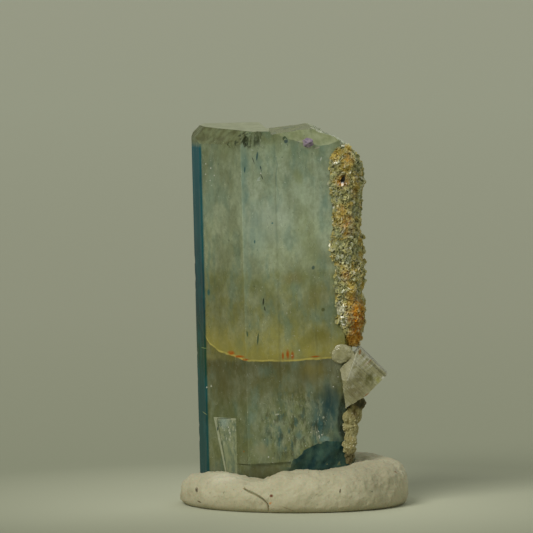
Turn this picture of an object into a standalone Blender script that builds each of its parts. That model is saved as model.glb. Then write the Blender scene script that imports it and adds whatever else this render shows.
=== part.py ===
"""Aquamarine prism with muscovite, standing in a rolled ring of mounting putty.

The crystal stands on +Z with its front towards -Y. Minerals are modelled in the crystal's own
frame, whose Z is the crystal's long axis, and hang on an empty that gives the small lean.
"""

import math
import random

import bmesh
import bpy
from mathutils import Matrix, Vector, noise

MM = 0.001

# Aquamarine: a six-sided prism with narrow faces between the main ones. Each face is the
# compass angle of its normal, from -Y towards +X, and its distance from the long axis.
PRISM_FACES = [
    (20.0, 6.29 * MM),
    (80.0, 9.18 * MM),
    (110.0, 9.73 * MM),
    (140.0, 8.66 * MM),
    (200.0, 5.68 * MM),
    (230.0, 8.16 * MM),
    (260.0, 9.46 * MM),
    (290.0, 9.51 * MM),
    (320.0, 8.44 * MM),
]
FRONT_FACE = 0
LEFT_FRONT_FACE = 8
CORNER_AFTER_FRONT = 1
PRISM_LENGTH = 47.3 * MM
LEAN_DEG = 1.45
FOOT = Vector((-1.95, 0.0, 0.4)) * MM

# Growth steps on the prism faces: face, share of its width where the step lies, and height.
GROWTH_STEPS = [
    (0, 0.335, 0.06 * MM),
    (0, 0.72, 0.05 * MM),
    (3, 0.45, 0.16 * MM),
    (4, 0.30, 0.18 * MM),
    (4, 0.66, 0.14 * MM),
    (6, 0.50, 0.08 * MM),
]

# The flat top: its height on the axis, and the compass angle and rise of its normal.
TOP_HEIGHT = 46.86 * MM
TOP_FACING = (48.0, 86.9)
# Bevels round it: face, how far each reaches down from the prism's full length, and its rise.
TOP_BEVELS = [
    (8, 2.15 * MM, 42.0),
    (7, 1.45 * MM, 45.0),
    (6, 0.95 * MM, 45.0),
    (4, 0.35 * MM, 42.0),
]

# Broken places: centre in mm, compass angle and rise of the break's outward normal, size of
# the cutting slab, its cells, how deep the break is hollowed, and its roughness, in mm.
BREAKS = [
    ("right_slope", (8.4, -0.5, 45.2), 95.0, 62.0, 16.0, 10, 0.25, 0.5),
    ("front_scoop", (5.6, -4.6, 46.0), 24.0, 44.0, 11.0, 10, 0.75, 0.35),
    ("top_break", (7.27, 0.92, 46.87), 276.6, 85.1, 16.0, 10, 0.0, 0.15),
    ("foot_chip", (5.3, -4.24, 5.4), 27.0, -18.7, 15.0, 12, 0.15, 0.4),
    ("back_chip", (-6.8, 4.4, 2.4), 225.0, -40.0, 9.0, 6, 0.2, 0.3),
    ("foot_break", (0.0, 0.0, 0.9), 150.0, -84.0, 34.0, 12, 0.8, 0.8),
]
FOOT_CHIP = 3
BREAK_GRAIN = 2.6 * MM
# The ledge that steps the front face in at its foot, the etched pits along the top edge, and
# the cleaved sliver, drawn on its face as places across and up.
LEDGE_PLAN = [(-5.3, -6.5), (-5.3, -12.0), (2.4, -12.0), (1.6, -5.85), (-3.6, -7.6)]
LEDGE_TOP = 5.35 * MM
PITS = [
    ((-5.1, -6.95, 45.2), (0.42, 0.5, 0.55)),
    ((-4.1, -7.4, 46.0), (0.5, 0.5, 0.5)),
    ((-3.0, -7.7, 45.5), (0.45, 0.5, 0.75)),
    ((-3.7, -7.1, 46.75), (0.35, 0.4, 0.3)),
    ((-1.4, -7.1, 46.1), (0.35, 0.35, 0.9)),
    ((1.9, -6.0, 45.6), (0.35, 0.35, 0.35)),
]
SLIVER_PLAN = [(-1.7, 10.9), (0.6, 11.0), (1.15, 9.8), (1.2, 7.0), (1.15, 4.2), (-0.3, 4.2), (-1.1, 8.2)]
SLIVER_DEPTH = 0.12 * MM
# How far tools that make room for the prism run past its ends.
ROOM_PAST_END = 5.0 * MM

# The seam kept between neighbours that touch in the real piece.
SEAM = 0.2 * MM
GRAIN_SEAM = 0.08 * MM

# Crust of muscovite: height, how far it reaches past the front right corner over the front
# face and round the side, and its thickness on the front and on the side.
CRUST_ROWS = [
    (44.3, 0.3, 3.6, 0.3, 0.5),
    (43.4, 1.1, 5.2, 0.7, 1.2),
    (42.5, 1.5, 6.6, 0.9, 1.6),
    (41.0, 1.4, 8.3, 1.1, 1.9),
    (39.5, 1.6, 8.9, 1.0, 1.9),
    (38.0, 1.3, 8.0, 1.1, 1.6),
    (36.5, 1.2, 6.7, 0.9, 1.4),
    (35.0, 1.2, 6.3, 1.0, 1.5),
    (33.5, 1.3, 7.2, 1.1, 1.5),
    (32.0, 1.7, 8.6, 1.1, 1.5),
    (30.6, 1.5, 9.4, 0.9, 1.4),
    (29.6, 0.9, 8.8, 0.9, 1.6),
    (28.2, 1.1, 7.1, 1.1, 1.9),
    (26.8, 1.3, 6.0, 1.0, 1.7),
    (25.4, 1.1, 6.4, 1.2, 1.6),
    (24.0, 1.0, 7.3, 1.2, 1.7),
    (22.6, 0.9, 6.8, 1.0, 1.8),
    (21.6, 0.3, 5.6, 0.9, 1.5),
    (20.8, -0.5, 4.9, 0.8, 1.2),
    (20.0, -1.2, 4.4, 0.7, 1.3),
    (19.2, -1.6, 3.8, 0.5, 1.2),
]
CRUST_LUMP = 0.4 * MM
CRUST_GRAIN = 1.3 * MM
CRUST_LEAST = 0.12 * MM
# How fast the crust thickens from its front and its back edge, and with what it starts.
CRUST_FRONT_RISE = (5.0, 0.12)
CRUST_BACK_RISE = (2.2, 0.15)
# The crust's finer lumps: their height and how many go to a coarse one.
CRUST_FINE_SHARE = 0.7
CRUST_FINE_COUNT = 2.3
CRUST_INNER_SEAM = 0.2
CRUST_OUTER_STEPS = 11
CRUST_INNER_STEPS = 5
# Reach to either side over which the crust's slope is taken, and the stretch round the front
# corner over which its thickness passes from the front's to the side's.
SLOPE_REACH = 0.9 * MM
CORNER_FROM = -1.0 * MM
CORNER_SPAN = 3.0 * MM
MICA_SEED = 11
MICA_PLATES = 96
MICA_PLATE_RADIUS = (0.5 * MM, 0.95 * MM)
MICA_PLATE_THICK = (0.16 * MM, 0.3 * MM)
MICA_PLATE_TAPER = 0.9
# Plates sit mostly near the front edge: first place, spread and how strongly they crowd there.
MICA_PLATE_FIRST = 0.03
MICA_PLATE_SPREAD = 0.85
MICA_PLATE_CROWD = 2.2
MICA_PLATE_SHIFT = 0.7 * MM
MICA_PLATE_TILT = (0.35, 1.5)

# Book of muscovite: its sheets lie across BOOK_AXIS, and the planes are its flat sides.
BOOK_AXIS = Vector((0.709, 0.0, 0.705))
BOOK_START = 14.3 * MM
BOOK_END = 21.0 * MM
BOOK_SHEETS = 13
BOOK_SEED = 5
SHEET_STEP = 0.14 * MM
SHEET_LAP = 0.01 * MM
# Block that a packet of sheets is cut from: its side and its centre.
SHEET_BLOCK = 30.0 * MM
SHEET_MIDDLE = Vector((10.0, -3.0, 15.0)) * MM
BOOK_PLANES = [
    (Vector((0.705, 0.0, -0.709)), -1.35 * MM),
    (Vector((-0.705, 0.0, 0.709)), 6.2 * MM),
    (Vector((0.129, -0.992, 0.0)), 6.12 * MM),
    (Vector((0.643, -0.766, 0.0)), 12.3 * MM),
    (Vector((-0.62, -0.45, 0.64)), 7.95 * MM),
    (Vector((0.5, 0.866, 0.0)), 6.7 * MM),
    (Vector((0.0, 1.0, 0.0)), 0.9 * MM),
    (Vector((-0.565, -0.787, 0.249)), 2.74 * MM),
    (Vector((-0.992, 0.0, -0.128)), -10.01 * MM),
    (Vector((0.48, 0.0, -0.877)), -6.14 * MM),
]
LUMP_CENTRE = Vector((8.3, -3.9, 18.45)) * MM
LUMP_RADII = Vector((1.55, 0.95, 1.1)) * MM
LUMP_ROUGH = 0.25
LUMP_SEED = 9

# Matrix left on the lower right edge: centre and radius of each grain, from the book down.
MATRIX_GRAINS = [
    ((9.95, -2.2, 12.3), 1.0),
    ((9.8, -1.2, 12.1), 1.05),
    ((9.7, -2.6, 11.4), 0.95),
    ((9.3, -2.0, 10.7), 0.85),
    ((8.95, -3.5, 10.3), 0.75),
    ((9.2, -2.2, 9.8), 0.7),
    ((8.95, -3.4, 9.3), 0.85),
    ((9.25, -2.2, 8.7), 0.72),
    ((9.05, -3.5, 8.2), 0.8),
    ((9.2, -2.4, 7.7), 0.7),
    ((8.9, -3.5, 7.2), 0.75),
    ((9.05, -2.6, 6.7), 0.65),
    ((8.85, -3.4, 6.3), 0.7),
    ((8.95, -2.7, 5.8), 0.6),
    ((8.75, -3.3, 5.6), 0.55),
]
MATRIX_ROUGH = 0.5
# Each grain reads its roughness from its own place in the noise.
ROUGH_COARSENESS = 1.7
ROUGH_SEED_STEP = Vector((3.1, 1.7, 2.3))
MATRIX_SEED = 20

# Fluorite grain: a cube with its corners cut off, as a share of its half side, and turned.
GRAIN_CENTRE = Vector((4.7, -5.05, 45.0)) * MM
GRAIN_RADIUS = 0.55 * MM
GRAIN_CORNER = 0.72
GRAIN_TURN_DEG = (35.0, 28.0)
GRAIN_STRETCH = (1.0, 0.8, 0.78, 1.0)

# Putty: a roll bent round the foot of the crystal and pressed flat below.
RING_HALF_X = 10.9 * MM
RING_HALF_Y = 9.7 * MM
ROLL_OUTER_HALF = 3.4 * MM
ROLL_INNER_HALF = 6.6 * MM
# Height of the roll at angles round the ring, from +X towards +Y.
ROLL_CRESTS = [
    (0.0, 5.5),
    (30.0, 5.8),
    (95.0, 5.3),
    (135.0, 4.2),
    (160.0, 3.5),
    (185.0, 3.9),
    (205.0, 4.3),
    (225.0, 4.5),
    (248.0, 4.0),
    (264.0, 4.8),
    (285.0, 4.9),
    (315.0, 5.1),
    (340.0, 5.5),
    (360.0, 5.5),
]
# Shares of the half width that lies flat below, and of the height where the flanks start, and
# the powers that fill out the flanks.
ROLL_FLAT_SHARE = 0.7
ROLL_FOOT_SHARE = 0.16
ROLL_RISE_POWER = 0.72
ROLL_WIDTH_POWER = 0.85
# Bulges left by the fingers: their span and height.
DENT_SPAN = 3.2 * MM
DENT_HEIGHT = 0.35 * MM
# Where one end of the roll laps the other, as a tongue that points to the left: the angles
# round the ring of its tip and of how far its edges run back, the tip's angle up the roll, and
# the depth and width of the crease.
TONGUE_TIP_DEG = 242.5
TONGUE_TIP_RISE_DEG = 42.0
TONGUE_LOWER_DEG = 13.5
TONGUE_UPPER_DEG = 8.0
CREASE_DEPTH = 0.4 * MM
CREASE_WIDTH = 0.45 * MM
# Radius that turns an angle round the ring into a length, how far the tongue stands out and
# the putty before it is pressed in, and the length over which both fade.
TONGUE_RADIUS = 12.5 * MM
TONGUE_HEIGHT = 0.35 * MM
TONGUE_PRESSED = 0.2 * MM
TONGUE_FADE = 3.0 * MM
# The lap shows from near the foot to the roll's top and fades out inside.
TONGUE_FADE_RATE = 1.1
TONGUE_FADE_START = 0.3
RING_STEPS = 60
SEAM_RING_STEPS = 26
SEAM_FROM_DEG = 229.0
SEAM_TO_DEG = 268.0
ROLL_STEPS = 12


def clear_scene():
    for obj in list(bpy.data.objects):
        bpy.data.objects.remove(obj, do_unlink=True)


def material(name, colour, roughness, transmission=0.0, alpha=1.0):
    mat = bpy.data.materials.new(name)
    mat.use_nodes = True
    shader = mat.node_tree.nodes["Principled BSDF"]
    shader.inputs["Base Color"].default_value = (*colour, 1.0)
    shader.inputs["Roughness"].default_value = roughness
    shader.inputs["Metallic"].default_value = 0.0
    shader.inputs["Transmission Weight"].default_value = transmission
    shader.inputs["Alpha"].default_value = alpha
    return mat


def make_object(name, bm, parent=None, mat=None):
    bmesh.ops.recalc_face_normals(bm, faces=bm.faces)
    mesh = bpy.data.meshes.new(name)
    bm.to_mesh(mesh)
    bm.free()
    obj = bpy.data.objects.new(name, mesh)
    bpy.context.scene.collection.objects.link(obj)
    obj.parent = parent
    if mat:
        mesh.materials.append(mat)
    return obj


def combine(target, other, operation):
    """Cuts or joins another object into the target, and removes that object."""
    modifier = target.modifiers.new("combine", "BOOLEAN")
    modifier.operation = operation
    modifier.object = other
    bpy.context.view_layer.update()
    depsgraph = bpy.context.evaluated_depsgraph_get()
    mesh = bpy.data.meshes.new_from_object(target.evaluated_get(depsgraph))
    target.modifiers.remove(modifier)
    old = target.data
    mesh.name = old.name
    target.data = mesh
    bpy.data.meshes.remove(old)
    bpy.data.objects.remove(other, do_unlink=True)


def keep_largest(obj):
    """Drops the crumbs that a cut leaves beside the main body."""
    bm = bmesh.new()
    bm.from_mesh(obj.data)
    bodies = []
    seen = set()
    for first in bm.verts:
        if first in seen:
            continue
        body = []
        queue = [first]
        seen.add(first)
        while queue:
            vert = queue.pop()
            body.append(vert)
            for edge in vert.link_edges:
                other = edge.other_vert(vert)
                if other not in seen:
                    seen.add(other)
                    queue.append(other)
        bodies.append(body)
    bodies.sort(key=len, reverse=True)
    for body in bodies[1:]:
        bmesh.ops.delete(bm, geom=body, context="VERTS")
    bm.to_mesh(obj.data)
    bm.free()


def outline(gap):
    """Corners of the prism's cross-section, each the meeting of a face with the one before it."""
    corners = []
    for index, (angle, distance) in enumerate(PRISM_FACES):
        before_angle, before_distance = PRISM_FACES[index - 1]
        a = math.radians(before_angle)
        b = math.radians(angle)
        rows = Matrix(((math.sin(a), -math.cos(a)), (math.sin(b), -math.cos(b))))
        corners.append(rows.inverted() @ Vector((before_distance + gap, distance + gap)))
    return corners


def stepped_outline():
    """The cross-section with the small ledges that growth left on the faces."""
    corners = outline(0.0)
    points = []
    for index, (angle, _) in enumerate(PRISM_FACES):
        start = corners[index]
        end = corners[(index + 1) % len(corners)]
        inward = -Vector((math.sin(math.radians(angle)), -math.cos(math.radians(angle))))
        points.append(start)
        steps = [step for step in GROWTH_STEPS if step[0] == index]
        for _, share, height in steps:
            place = start.lerp(end, share)
            ledge = start.lerp(end, share + 0.02)
            points.append(place)
            points.append(ledge + inward * height)
            points.append(start.lerp(end, share + 0.16) + inward * height * 0.5)
    return points


def extrude_outline(points, bottom, top):
    bm = bmesh.new()
    lower = [bm.verts.new((p.x, p.y, bottom)) for p in points]
    upper = [bm.verts.new((p.x, p.y, top)) for p in points]
    bm.faces.new(lower)
    bm.faces.new(upper)
    count = len(points)
    for i in range(count):
        j = (i + 1) % count
        bm.faces.new((lower[i], lower[j], upper[j], upper[i]))
    return bm


def shave(bm, point, normal):
    """Cuts a flat face: everything beyond the plane goes."""
    geometry = bm.verts[:] + bm.edges[:] + bm.faces[:]
    cut = bmesh.ops.bisect_plane(
        bm, geom=geometry, plane_co=point, plane_no=normal, clear_outer=True
    )
    edges = [item for item in cut["geom_cut"] if isinstance(item, bmesh.types.BMEdge)]
    bmesh.ops.contextual_create(bm, geom=edges)


def compass(angle_deg, rise_deg=0.0):
    """Unit vector at a compass angle, from -Y towards +X, and so many degrees upwards."""
    a = math.radians(angle_deg)
    r = math.radians(rise_deg)
    return Vector((math.sin(a) * math.cos(r), -math.cos(a) * math.cos(r), math.sin(r)))


def break_slab(name, parent, centre, normal, size, cells, bow, rough):
    """Slab that removes stone along a shell-like break, hollowed by bow; two sides are level."""
    across = Vector((0.0, 0.0, 1.0)).cross(normal).normalized()
    along = normal.cross(across)
    bm = bmesh.new()
    face = []
    for i in range(cells + 1):
        row = []
        for j in range(cells + 1):
            u = (i / cells - 0.5) * size
            v = (j / cells - 0.5) * size
            share = (u * u + v * v) / (size * size * 0.25)
            spot = (centre + across * u + along * v) / BREAK_GRAIN
            depth = bow * (1.0 - share) - rough * noise.noise(spot)
            row.append(bm.verts.new(centre + across * u + along * v - normal * depth))
        face.append(row)
    for i in range(cells):
        for j in range(cells):
            bm.faces.new((face[i][j], face[i + 1][j], face[i + 1][j + 1], face[i][j + 1]))
    rim = [edge for edge in bm.edges if edge.is_boundary]
    grown = bmesh.ops.extrude_edge_only(bm, edges=rim)
    raised = [item for item in grown["geom"] if isinstance(item, bmesh.types.BMVert)]
    for vert in raised:
        vert.co += normal * (size - (vert.co - centre).dot(normal))
    lid = [item for item in grown["geom"] if isinstance(item, bmesh.types.BMEdge)]
    bmesh.ops.contextual_create(bm, geom=lid)
    bmesh.ops.triangulate(bm, faces=bm.faces)
    return make_object(name, bm, parent)


def rough_ball(name, parent, centre, radii, rough, seed, subdivisions=2):
    bm = bmesh.new()
    bmesh.ops.create_icosphere(bm, subdivisions=subdivisions, radius=1.0)
    for vert in bm.verts:
        spot = vert.co * ROUGH_COARSENESS + ROUGH_SEED_STEP * seed
        swell = 1.0 + rough * noise.noise(spot)
        vert.co = Vector([c * r for c, r in zip(vert.co * swell, radii)]) + centre
    return make_object(name, bm, parent)


def prism_body(name, axis, gap, bottom, breaks, mat=None):
    """The prism with its upper bevels and its breaks, grown by a gap where it has to make room."""
    points = outline(gap) if gap else stepped_outline()
    bm = extrude_outline(points, bottom, PRISM_LENGTH + gap)
    shave(bm, Vector((0.0, 0.0, TOP_HEIGHT + gap)), compass(*TOP_FACING))
    corners = outline(gap)
    for face, drop, rise in TOP_BEVELS:
        middle = corners[face].lerp(corners[(face + 1) % len(corners)], 0.5)
        edge = Vector((*middle, PRISM_LENGTH + gap - drop))
        shave(bm, edge, compass(PRISM_FACES[face][0], rise))
    body = make_object(name, bm, axis, mat)
    for label, centre, angle, rise, size, cells, bow, rough in breaks:
        normal = compass(angle, rise)
        middle = Vector(centre) * MM + normal * gap
        slab = break_slab(label, axis, middle, normal, size * MM, cells, bow * MM, rough * MM)
        combine(body, slab, "DIFFERENCE")
    return body


def build_aquamarine(axis, mat):
    crystal = prism_body("aquamarine", axis, 0.0, 0.0, BREAKS, mat)
    ledge = extrude_outline([Vector(p) * MM for p in LEDGE_PLAN], -MM, LEDGE_TOP)
    combine(crystal, make_object("ledge", ledge, axis), "DIFFERENCE")
    for seed, (centre, radii) in enumerate(PITS):
        pit = rough_ball("pit", axis, Vector(centre) * MM, Vector(radii) * MM, 0.35, seed, 1)
        combine(crystal, pit, "DIFFERENCE")
    combine(crystal, sliver_room(axis), "DIFFERENCE")
    combine(crystal, grain_mesh("pocket", axis, GRAIN_RADIUS + GRAIN_SEAM, None), "DIFFERENCE")
    return crystal


def sliver_room(axis):
    """The shallow bed of the cleaved sliver, sunk a little into the left front face."""
    corners = outline(0.0)
    angle = PRISM_FACES[LEFT_FRONT_FACE][0]
    outward = compass(angle)
    rise = Vector((0.0, 0.0, 1.0))
    run = rise.cross(outward).normalized()
    middle = corners[LEFT_FRONT_FACE].lerp(corners[0], 0.5)
    floor = [Vector((*middle, z * MM)) + run * u * MM - outward * SLIVER_DEPTH for u, z in SLIVER_PLAN]
    bm = bmesh.new()
    inner = [bm.verts.new(p) for p in floor]
    outer = [bm.verts.new(p + outward * MM) for p in floor]
    bm.faces.new(inner)
    bm.faces.new(outer)
    for i in range(len(inner)):
        j = (i + 1) % len(inner)
        bm.faces.new((inner[i], inner[j], outer[j], outer[i]))
    return make_object("sliver", bm, axis)


def grain_mesh(name, parent, radius, mat):
    bm = bmesh.new()
    bmesh.ops.create_cube(bm, size=2.0 * radius)
    about_x, about_z = [math.radians(a) for a in GRAIN_TURN_DEG]
    turn = Matrix.Rotation(about_z, 4, "Z") @ Matrix.Rotation(about_x, 4, "X")
    for corner in [Vector((x, y, z)) for x in (-1, 1) for y in (-1, 1) for z in (-1, 1)]:
        shave(bm, corner * radius * GRAIN_CORNER, corner)
    stretch = Matrix.Diagonal(GRAIN_STRETCH)
    bmesh.ops.transform(bm, matrix=Matrix.Translation(GRAIN_CENTRE) @ stretch @ turn, verts=bm.verts)
    return make_object(name, bm, parent, mat)


def side_point(along, gap):
    """Point on the prism's side, so far past the front face's right corner."""
    corners = outline(gap)
    count = len(corners)
    index = CORNER_AFTER_FRONT
    if along < 0.0:
        direction = (corners[FRONT_FACE] - corners[index]).normalized()
        return corners[index] + direction * -along
    left = along
    while True:
        start = corners[index % count]
        end = corners[(index + 1) % count]
        length = (end - start).length
        if left <= length:
            return start.lerp(end, left / length)
        left -= length
        index += 1


def crust_point(row, share):
    """Point on the crust's outer skin; share runs from the front edge to the back edge."""
    height, front_reach, side_reach, front_thick, side_thick = row
    start = -front_reach * MM
    end = side_reach * MM
    along = start + (end - start) * share
    place = side_point(along, SEAM)
    ahead = side_point(along + SLOPE_REACH, SEAM)
    behind = side_point(along - SLOPE_REACH, SEAM)
    tangent = (ahead - behind).normalized()
    outward = Vector((tangent.y, -tangent.x))
    blend = min(1.0, max(0.0, (along - CORNER_FROM) / CORNER_SPAN))
    thick = (front_thick + (side_thick - front_thick) * blend) * MM
    from_front = CRUST_FRONT_RISE[0] * share + CRUST_FRONT_RISE[1]
    from_back = CRUST_BACK_RISE[0] * (1.0 - share) + CRUST_BACK_RISE[1]
    edge = min(1.0, from_front, from_back)
    spot = Vector((place.x, place.y, height * MM)) / CRUST_GRAIN
    fine = CRUST_FINE_SHARE * noise.noise(spot * CRUST_FINE_COUNT)
    lump = CRUST_LUMP * (noise.noise(spot) + fine)
    skin = place + outward * max(CRUST_LEAST, (thick + lump) * edge)
    return Vector((skin.x, skin.y, height * MM))


def build_crust(axis, mat):
    bm = bmesh.new()
    loops = []
    for row in CRUST_ROWS:
        height, front_reach, side_reach, _, _ = row
        skin = [crust_point(row, i / CRUST_OUTER_STEPS) for i in range(CRUST_OUTER_STEPS + 1)]
        loop = [bm.verts.new(place) for place in skin]
        start = -front_reach * MM
        end = side_reach * MM
        for i in range(CRUST_INNER_STEPS, -1, -1):
            place = side_point(start + (end - start) * i / CRUST_INNER_STEPS, SEAM * CRUST_INNER_SEAM)
            loop.append(bm.verts.new((place.x, place.y, height * MM)))
        loops.append(loop)
    for above, below in zip(loops, loops[1:]):
        count = len(above)
        for i in range(count):
            j = (i + 1) % count
            bm.faces.new((above[i], above[j], below[j], below[i]))
    bm.faces.new(loops[0])
    bm.faces.new(loops[-1])
    bmesh.ops.triangulate(bm, faces=bm.faces)
    crust = make_object("muscovite_crust", bm, axis, mat)

    rng = random.Random(MICA_SEED)
    for _ in range(MICA_PLATES):
        index = rng.randrange(1, len(CRUST_ROWS) - 1)
        row = CRUST_ROWS[index]
        share = MICA_PLATE_FIRST + MICA_PLATE_SPREAD * rng.random() ** MICA_PLATE_CROWD
        spot = crust_point(row, share)
        spot.z += rng.uniform(-MICA_PLATE_SHIFT, MICA_PLATE_SHIFT)
        radius = rng.uniform(*MICA_PLATE_RADIUS)
        thick = rng.uniform(*MICA_PLATE_THICK)
        tilt = Matrix.Rotation(rng.uniform(0.0, math.tau), 4, "Z")
        tilt = tilt @ Matrix.Rotation(rng.uniform(*MICA_PLATE_TILT), 4, "X")
        sides = rng.choice((4, 5, 6))
        plate = bmesh.new()
        tip = radius * MICA_PLATE_TAPER
        bmesh.ops.create_cone(
            plate, cap_ends=True, segments=sides, radius1=radius, radius2=tip, depth=thick
        )
        bmesh.ops.transform(plate, matrix=Matrix.Translation(spot) @ tilt, verts=plate.verts)
        combine(crust, make_object("plate", plate, axis), "UNION")
    combine(crust, prism_room(axis), "DIFFERENCE")
    return crust


def prism_room(axis):
    """The room that the minerals on the prism's side keep free for it."""
    walls = extrude_outline(outline(SEAM), -ROOM_PAST_END, PRISM_LENGTH + ROOM_PAST_END)
    return make_object("room", walls, axis)


def sheet_packet(name, parent, low, high, insets, gap):
    """One packet of sheets of the book, between two heights along the book's axis."""
    bm = bmesh.new()
    bmesh.ops.create_cube(bm, size=SHEET_BLOCK)
    bmesh.ops.transform(bm, matrix=Matrix.Translation(SHEET_MIDDLE), verts=bm.verts)
    shave(bm, BOOK_AXIS * high, BOOK_AXIS)
    shave(bm, BOOK_AXIS * low, -BOOK_AXIS)
    for (normal, distance), inset in zip(BOOK_PLANES, insets):
        unit = normal.normalized()
        shave(bm, unit * (distance / normal.length - inset + gap), unit)
    return make_object(name, bm, parent)


def stack_sheets(name, parent, gap, rng):
    edges = [0.0]
    for _ in range(BOOK_SHEETS):
        edges.append(edges[-1] + rng.uniform(0.5, 1.6))
    scale = (BOOK_END - BOOK_START) / edges[-1]
    book = None
    for low, high in zip(edges, edges[1:]):
        insets = [rng.uniform(0.0, SHEET_STEP) for _ in BOOK_PLANES]
        bottom = BOOK_START + low * scale - SHEET_LAP - gap
        top = BOOK_START + high * scale + gap
        sheet = sheet_packet("sheets", parent, bottom, top, insets, gap)
        if book is None:
            book = sheet
            book.name = name
            book.data.name = name
        else:
            combine(book, sheet, "UNION")
    return book


def build_book(axis, mat, crust):
    book = stack_sheets("muscovite_book", axis, 0.0, random.Random(BOOK_SEED))
    book.data.materials.append(mat)
    lump = rough_ball("lump", axis, LUMP_CENTRE, LUMP_RADII, LUMP_ROUGH, LUMP_SEED, 3)
    combine(book, lump, "UNION")
    combine(book, prism_room(axis), "DIFFERENCE")
    keep_largest(book)
    room = stack_sheets("room", axis, SEAM, random.Random(BOOK_SEED))
    combine(crust, room, "DIFFERENCE")
    wider = LUMP_RADII + Vector((SEAM, SEAM, SEAM))
    room = rough_ball("room", axis, LUMP_CENTRE, wider, LUMP_ROUGH, LUMP_SEED, 3)
    combine(crust, room, "DIFFERENCE")
    keep_largest(crust)
    return book


def build_matrix(axis, mat):
    rock = None
    for seed, (centre, radius) in enumerate(MATRIX_GRAINS):
        middle = Vector(centre) * MM
        radii = Vector((radius, radius, radius)) * MM
        grain = rough_ball("matrix_grain", axis, middle, radii, MATRIX_ROUGH, MATRIX_SEED + seed, 1)
        if rock is None:
            rock = grain
            rock.name = "matrix"
            rock.data.name = "matrix"
            rock.data.materials.append(mat)
        else:
            combine(rock, grain, "UNION")
    combine(rock, prism_room(axis), "DIFFERENCE")
    combine(rock, stack_sheets("room", axis, SEAM, random.Random(BOOK_SEED)), "DIFFERENCE")
    keep_largest(rock)
    return rock


def crest(angle):
    """Height of the roll at an angle round the ring, from +X towards +Y."""
    turn = math.degrees(angle) % 360.0
    for (start, low), (end, high) in zip(ROLL_CRESTS, ROLL_CRESTS[1:]):
        if start <= turn <= end:
            share = (1.0 - math.cos(math.pi * (turn - start) / (end - start))) / 2.0
            return (low + (high - low) * share) * MM
    return ROLL_CRESTS[0][1] * MM


def overlap(angle, turn):
    """How far the putty stands out where one end of the roll laps the other."""
    rise = math.degrees(turn)
    if rise < TONGUE_TIP_RISE_DEG:
        run_back = TONGUE_LOWER_DEG * (1.0 - rise / TONGUE_TIP_RISE_DEG)
    else:
        run_back = TONGUE_UPPER_DEG * (rise - TONGUE_TIP_RISE_DEG) / (90.0 - TONGUE_TIP_RISE_DEG)
    beyond = (angle - math.radians(TONGUE_TIP_DEG + run_back)) * TONGUE_RADIUS
    groove = -CREASE_DEPTH * math.exp(-((beyond / CREASE_WIDTH) ** 2))
    if beyond > 0.0:
        step = TONGUE_HEIGHT * math.exp(-beyond / TONGUE_FADE)
    else:
        step = -TONGUE_PRESSED * math.exp(beyond / TONGUE_FADE)
    fade = max(0.0, math.sin(min(turn * TONGUE_FADE_RATE + TONGUE_FADE_START, math.pi)))
    return (groove + step) * fade


def ring_angles():
    """Angles round the ring, closer together where the two ends lap."""
    start = math.radians(SEAM_FROM_DEG)
    end = math.radians(SEAM_TO_DEG)
    close = [start + (end - start) * i / SEAM_RING_STEPS for i in range(SEAM_RING_STEPS)]
    rest = math.tau - (end - start)
    wide = [end + rest * i / RING_STEPS for i in range(RING_STEPS)]
    return close + wide


def roll_section(angle):
    """The roll's outline at one angle: flat below, round above, bulged and dented by hand."""
    middle = Vector((RING_HALF_X * math.cos(angle), RING_HALF_Y * math.sin(angle), 0.0))
    outward = Vector((math.cos(angle) / RING_HALF_X, math.sin(angle) / RING_HALF_Y, 0.0)).normalized()
    points = []
    for j in range(ROLL_STEPS + 1):
        turn = math.pi * j / ROLL_STEPS
        side = math.cos(turn)
        half = ROLL_OUTER_HALF if side > 0.0 else ROLL_INNER_HALF
        if j in (0, ROLL_STEPS):
            points.append(middle + outward * side * half * ROLL_FLAT_SHARE)
            continue
        lift = math.sin(turn) ** ROLL_RISE_POWER
        across = math.copysign(abs(side) ** ROLL_WIDTH_POWER, side) * half
        up = crest(angle) * (ROLL_FOOT_SHARE + (1.0 - ROLL_FOOT_SHARE) * lift)
        spot = (middle + outward * across + Vector((0.0, 0.0, up))) / DENT_SPAN
        bulge = DENT_HEIGHT * noise.noise(spot) + overlap(angle % math.tau, turn)
        points.append(middle + outward * (across + bulge * side) + Vector((0.0, 0.0, up + bulge * lift)))
    return points


def build_ring(stand, axis, mat):
    bm = bmesh.new()
    loops = [[bm.verts.new(p) for p in roll_section(angle)] for angle in ring_angles()]
    for i, loop in enumerate(loops):
        after = loops[(i + 1) % len(loops)]
        for j in range(len(loop)):
            k = (j + 1) % len(loop)
            bm.faces.new((loop[j], after[j], after[k], loop[k]))
    ring = make_object("putty_ring", bm, stand, mat)
    room = prism_body("room", axis, SEAM, -ROOM_PAST_END, [BREAKS[FOOT_CHIP]])
    combine(ring, room, "DIFFERENCE")
    keep_largest(ring)
    return ring


def centre_on_floor(stand, objects):
    """Moves the whole so that its box stands centred on the origin."""
    bpy.context.view_layer.update()
    points = [obj.matrix_world @ vert.co for obj in objects for vert in obj.data.vertices]
    low = [min(p[i] for p in points) for i in range(3)]
    high = [max(p[i] for p in points) for i in range(3)]
    stand.location = (-(low[0] + high[0]) / 2.0, -(low[1] + high[1]) / 2.0, -low[2])
    bpy.context.view_layer.update()


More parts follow.
